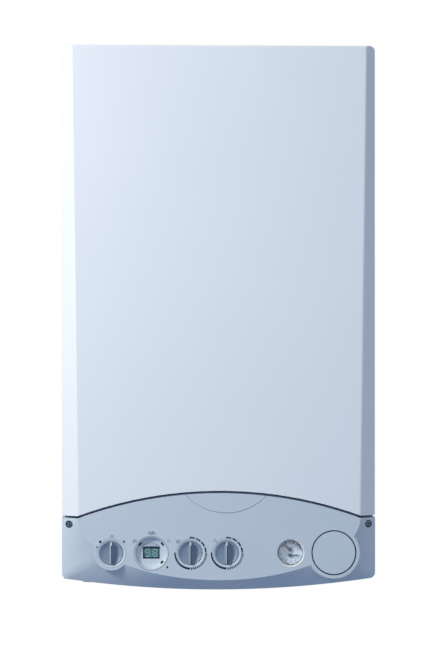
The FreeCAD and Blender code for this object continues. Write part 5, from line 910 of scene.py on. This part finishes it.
def gauge_figures():
    """The dial's figures, and a grey band round the dial's left and top that swells towards the
    temperature scale's start: painted shadow of the gauge's wall.
    """
    spot = centre("gauge_dial")
    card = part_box("gauge_dial")[0].y
    figures = []
    for scale, radius, size in ((TEMPERATURE_FIGURES, TEMPERATURE_RADIUS, TEMPERATURE_SIZE),
                                (PRESSURE_FIGURES, PRESSURE_RADIUS, PRESSURE_SIZE)):
        for text, degrees in scale:
            turn = math.radians(degrees)
            figures.append(words(text, spot.x + radius * math.cos(turn),
                                 spot.z + radius * math.sin(turn), size, card))
    on_panel("gauge_figures", merged(figures), ink_and_painted_shade)
    start, middle, end = SHADE_DEG
    # Painted shadow of the gauge's wall, thickest near the temperature scale's start
    shade = [band(spot.x, spot.z, SHADE_RADIUS, (SHADE_THIN, SHADE_THICK), (start, middle)),
             band(spot.x, spot.z, SHADE_RADIUS, (SHADE_THICK, SHADE_THIN), (middle, end))]
    on_panel("gauge_painted_shadow", printed(shade, card, INK_RISE / 2), grey_ink_and_painted_shadow)


def gauge_needle(name, tip_x, tip_z):
    """A flat blade along a gauge pointer, from its hub to its tip."""
    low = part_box(name)[0]
    hub = Vector((centre("gauge_dial").x, low.z + HUB_RADIUS))
    tip = Vector((tip_x, tip_z))
    side = Vector((-(tip - hub).y, (tip - hub).x)).normalized() * NEEDLE_WIDTH / 2
    blade = [tuple(corner) for corner in (hub - side, tip - side, tip + side, hub + side)]
    mesh = printed([blade], low.y + NEEDLE_DROP, NEEDLE_THICKNESS)
    piece(name + "_needle", mesh, name, navy_lacquer_and_painted_shade)


def gauge_needles():
    """The temperature needle points up to the left, the pressure needle to the right."""
    low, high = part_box("temperature_pointer")
    gauge_needle("temperature_pointer", low.x, high.z)
    low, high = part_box("pressure_pointer")
    gauge_needle("pressure_pointer", high.x, low.z + HUB_RADIUS)


def gauge_rim():
    """A bevel round the dial, whiter than the fascia under it: painted highlight on its lit side.
    """
    low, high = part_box("gauge_dial")
    mouth = (high.x - low.x) / 2
    rim = turned_ring(centre("gauge_dial"), [
        (mouth, facet_y + GAUGE_BEVEL - INK_RISE), (mouth + GAUGE_BEVEL, facet_y - INK_RISE),
        (mouth + GAUGE_BEVEL, facet_y + INK_RISE), (mouth, facet_y + GAUGE_BEVEL + INK_RISE)])
    on_panel("gauge_rim", rim, rim_abs_painted_highlight)


def gauge_ticks():
    spot = centre("gauge_dial")
    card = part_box("gauge_dial")[0].y
    ticks = [arc_marks(spot, card, TICK_RADIUS, degrees, count, TICK_ALONG, TICK_ACROSS)
             for degrees, count in (UPPER_TICKS, LOWER_TICKS)]
    on_panel("gauge_ticks", merged(ticks), ink_and_painted_shade)


def heads(name, points, facing, sizes, finish):
    """Hexagon heads or union nuts at some places on the case."""
    hexagon, height, collar = sizes
    mesh = grown(HEADS, {
        "Hexagon": hexagon, "Height": height, "Collar": collar,
        "Collar Height": height * COLLAR_SHARE, "Facing": facing, "Finish": finish}, points)
    piece(name, softened(mesh), "case", finish)


def screws(name, points, facing, sizes):
    heads(name, points, facing, sizes, zinc)


def nuts(name, points, facing, pipe, sizes):
    """Brass nuts on pipes of one radius."""
    hexagon, height, collar = sizes
    heads(name, points, facing, (pipe + hexagon, height, pipe + collar), brass)


def case_screws():
    """Screws of the burner door, the fan, the back plate and the tray."""
    low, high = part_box("burner_door")
    door = circle_points(centre("burner_door"), (high.x - low.x) / 2 - DOOR_EDGE, low.y,
                         DOOR_SCREW_COUNT, DOOR_SCREW_START_DEG)
    screws("burner_door_screws", door, FORWARDS, DOOR_SCREW)
    low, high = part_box("fan_motor")
    fan = circle_points(centre("fan_motor"), (high.x - low.x) / 2 + FAN_CLEARANCE,
                        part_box("fan_housing")[0].y, FAN_SCREW_COUNT, FAN_SCREW_START_DEG)
    screws("fan_screws", fan, FORWARDS, FAN_SCREW)
    low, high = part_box("back_plate")
    back = [(x, high.y, low.z + (high.z - low.z) * share)
            for x in (low.x + BACK_EDGE, high.x - BACK_EDGE) for share in BACK_SHARES]
    screws("back_plate_screws", back, BACKWARDS, SHEET_SCREW)
    low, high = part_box("bottom_tray")
    under = [(x, y, low.z) for x in (low.x + TRAY_EDGE, high.x - TRAY_EDGE)
             for y in (low.y + TRAY_EDGE, high.y - TRAY_EDGE)]
    screws("tray_screws", under, DOWNWARDS, SHEET_SCREW)


def pipe_end(node, side, pipe, z):
    """Where a pipe's axis meets a level, at the left (0) or the right (1) end of its node."""
    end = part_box(node)[side].x
    return (end - pipe if side else end + pipe, centre(node).y, z)


def pipe_radius(node):
    low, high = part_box(node)
    return (high.y - low.y) / 2


def pipe_nuts():
    """Union nuts under the tray, and at both ends of the flow and return pipes."""
    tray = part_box("bottom_tray")[0].z
    pipe = pipe_radius("heating_tails")
    ends = [pipe_end("heating_tails", side, pipe, tray) for side in (0, 1)]
    nuts("heating_nuts", ends, DOWNWARDS, pipe, HEATING_NUT)
    pipe = pipe_radius("hot_water_pipe")
    ends = [pipe_end("hot_water_pipe", 1, pipe, tray), pipe_end("cold_water_pipe", 0, pipe, tray)]
    nuts("tap_nuts", ends, DOWNWARDS, pipe, TAP_NUT)
    pipe = pipe_radius("gas_supply_pipe")
    nuts("gas_nut", [pipe_end("gas_supply_pipe", 0, pipe, tray)], DOWNWARDS, pipe, GAS_NUT)
    pipe = pipe_radius("flow_pipe")
    flow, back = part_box("flow_pipe"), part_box("return_pipe")
    tops = [pipe_end("flow_pipe", 1, pipe, flow[1].z), pipe_end("return_pipe", 0, pipe, back[1].z)]
    nuts("upper_nuts", tops, DOWNWARDS, pipe, PIPE_NUT)
    feet = [pipe_end("flow_pipe", 0, pipe, flow[0].z), pipe_end("return_pipe", 1, pipe, back[0].z)]
    nuts("lower_nuts", feet, UPWARDS, pipe, PIPE_NUT)


def camera():
    data = bpy.data.cameras.new("photo_camera")
    data.lens = LENS_MM
    data.sensor_width = SENSOR_MM
    data.dof.use_dof = False
    data.shift_y = (VIEW_HEIGHT - EYE_HEIGHT) / EYE_DISTANCE * LENS_MM / SENSOR_MM
    made = bpy.data.objects.new("photo_camera", data)
    bpy.context.scene.collection.objects.link(made)
    aim = Vector((VIEW_RIGHT, facet_y, base_z + EYE_HEIGHT))
    turn = math.radians(EYE_LEFT_DEG)
    made.location = aim + Vector((-math.sin(turn), -math.cos(turn), 0)) * EYE_DISTANCE
    made.rotation_euler = (math.pi / 2, 0, -turn)
    bpy.context.scene.camera = made


def lamp(name, place, aim, side, power, tint):
    """A square lamp that faces a point."""
    data = bpy.data.lights.new(name, "AREA")
    data.shape = "RECTANGLE"
    data.size, data.size_y = side, side
    data.energy = power
    data.color = linear(tint)[:3]
    made = bpy.data.objects.new(name, data)
    bpy.context.scene.collection.objects.link(made)
    made.location = place
    made.rotation_euler = (Vector(aim) - Vector(place)).to_track_quat("-Z", "Y").to_euler()


def background_rays(tree):
    """One for the rays that see the background: straight from the camera, or by metal or glass."""
    path = add(tree, "ShaderNodeLightPath")
    mirrored = add(tree, "ShaderNodeMath", {"operation": "MAXIMUM"}, {
        0: path.outputs["Is Glossy Ray"], 1: path.outputs["Is Transmission Ray"]})
    return add(tree, "ShaderNodeMath", {"operation": "MAXIMUM"}, {
        0: path.outputs["Is Camera Ray"], 1: mirrored.outputs[0]})


def studio():
    """A white surround that lights the case softly, a key lamp and a fill."""
    middle = (0.0, facet_y, base_z + VIEW_HEIGHT)
    lamp("key", Vector(middle) + KEY_TOWARDS * KEY_DISTANCE, middle, KEY_SIDE, KEY_POWER, KEY_TINT)
    lamp("fill", FILL_PLACE, middle, FILL_SIDE, FILL_POWER, FILL_TINT)
    world = bpy.data.worlds.new("studio")
    bpy.context.scene.world = world
    world.use_nodes = True
    tree = world.node_tree
    tree.nodes.clear()
    seen = background_rays(tree)
    place = add(tree, "ShaderNodeTexCoord")
    height = add(tree, "ShaderNodeSeparateXYZ", None, {"Vector": place.outputs["Generated"]})
    rise = add(tree, "ShaderNodeMapRange",
               {"From Min": SKY_HEIGHTS[0], "From Max": SKY_HEIGHTS[1]},
               {"Value": height.outputs["Z"]})
    strength = add(tree, "ShaderNodeMapRange",
                   {"To Min": SKY_STRENGTHS[0], "To Max": SKY_STRENGTHS[1]},
                   {"Value": rise.outputs["Result"]})
    hue = add(tree, "ShaderNodeMix",
              {"data_type": "RGBA", 6: linear(SKY_TINTS[0]), 7: linear(SKY_TINTS[1])},
              {0: rise.outputs["Result"]})
    around = add(tree, "ShaderNodeBackground", None, {
        "Color": hue.outputs[2], "Strength": strength.outputs["Result"]})
    white = add(tree, "ShaderNodeBackground", {"Color": WHITE, "Strength": 1.0})
    shown = add(tree, "ShaderNodeMixShader", None, {
        0: seen.outputs[0], 1: around.outputs[0], 2: white.outputs[0]})
    add(tree, "ShaderNodeOutputWorld", None, {"Surface": shown.outputs[0]})


def floor_paint():
    """Pale floor paint: a plain dull blue-grey that fades into the white surround."""
    material, tree = empty_material("painted_floor")
    place = add(tree, "ShaderNodeTexCoord")
    flat = add(tree, "ShaderNodeVectorMath", {"operation": "MULTIPLY", 1: (1.0, 1.0, 0.0)},
               {0: place.outputs["Object"]})
    away = add(tree, "ShaderNodeVectorMath", {"operation": "LENGTH"}, {0: flat.outputs["Vector"]})
    near, far = (FLOOR_RADIUS * share for share in FADE_SHARES)
    fade = add(tree, "ShaderNodeMapRange",
               {"From Min": near, "From Max": far, "To Min": FADE_LEAST},
               {"Value": away.outputs["Value"]})
    seen = background_rays(tree)
    share = add(tree, "ShaderNodeMath", {"operation": "MULTIPLY"},
                {0: fade.outputs["Result"], 1: seen.outputs[0]})
    paint = add(tree, "ShaderNodeBsdfDiffuse", {"Color": linear(FLOOR_TINT)})
    white = add(tree, "ShaderNodeEmission", {"Color": WHITE, "Strength": 1.0})
    both = add(tree, "ShaderNodeMixShader", None, {
        0: share.outputs[0], 1: paint.outputs[0], 2: white.outputs[0]})
    add(tree, "ShaderNodeOutputMaterial", None, {"Surface": both.outputs[0]})
    return material


def floor():
    """A round floor under the wall-hung case."""
    level = base_z - FLOOR_DROP
    rim = [(FLOOR_RADIUS * math.cos(turn), FLOOR_RADIUS * math.sin(turn), level)
           for turn in full_turn(FLOOR_SIDES)]
    mesh = bpy.data.meshes.new("floor")
    mesh.from_pydata(rim, [], [range(len(rim))])
    mesh.materials.append(floor_paint())
    made = bpy.data.objects.new("floor", mesh)
    bpy.context.scene.collection.objects.link(made)


dress_nodes()
knob_scales()
for control in ("selector_knob", "heating_knob", "hot_water_knob"):
    knob(control)
display()
gap_lines()
arch_seal()
signs()
gauge_figures()
gauge_needles()
gauge_rim()
gauge_ticks()
case_screws()
pipe_nuts()
camera()
floor()
studio()
bpy.context.scene.view_settings.view_transform = "Standard"
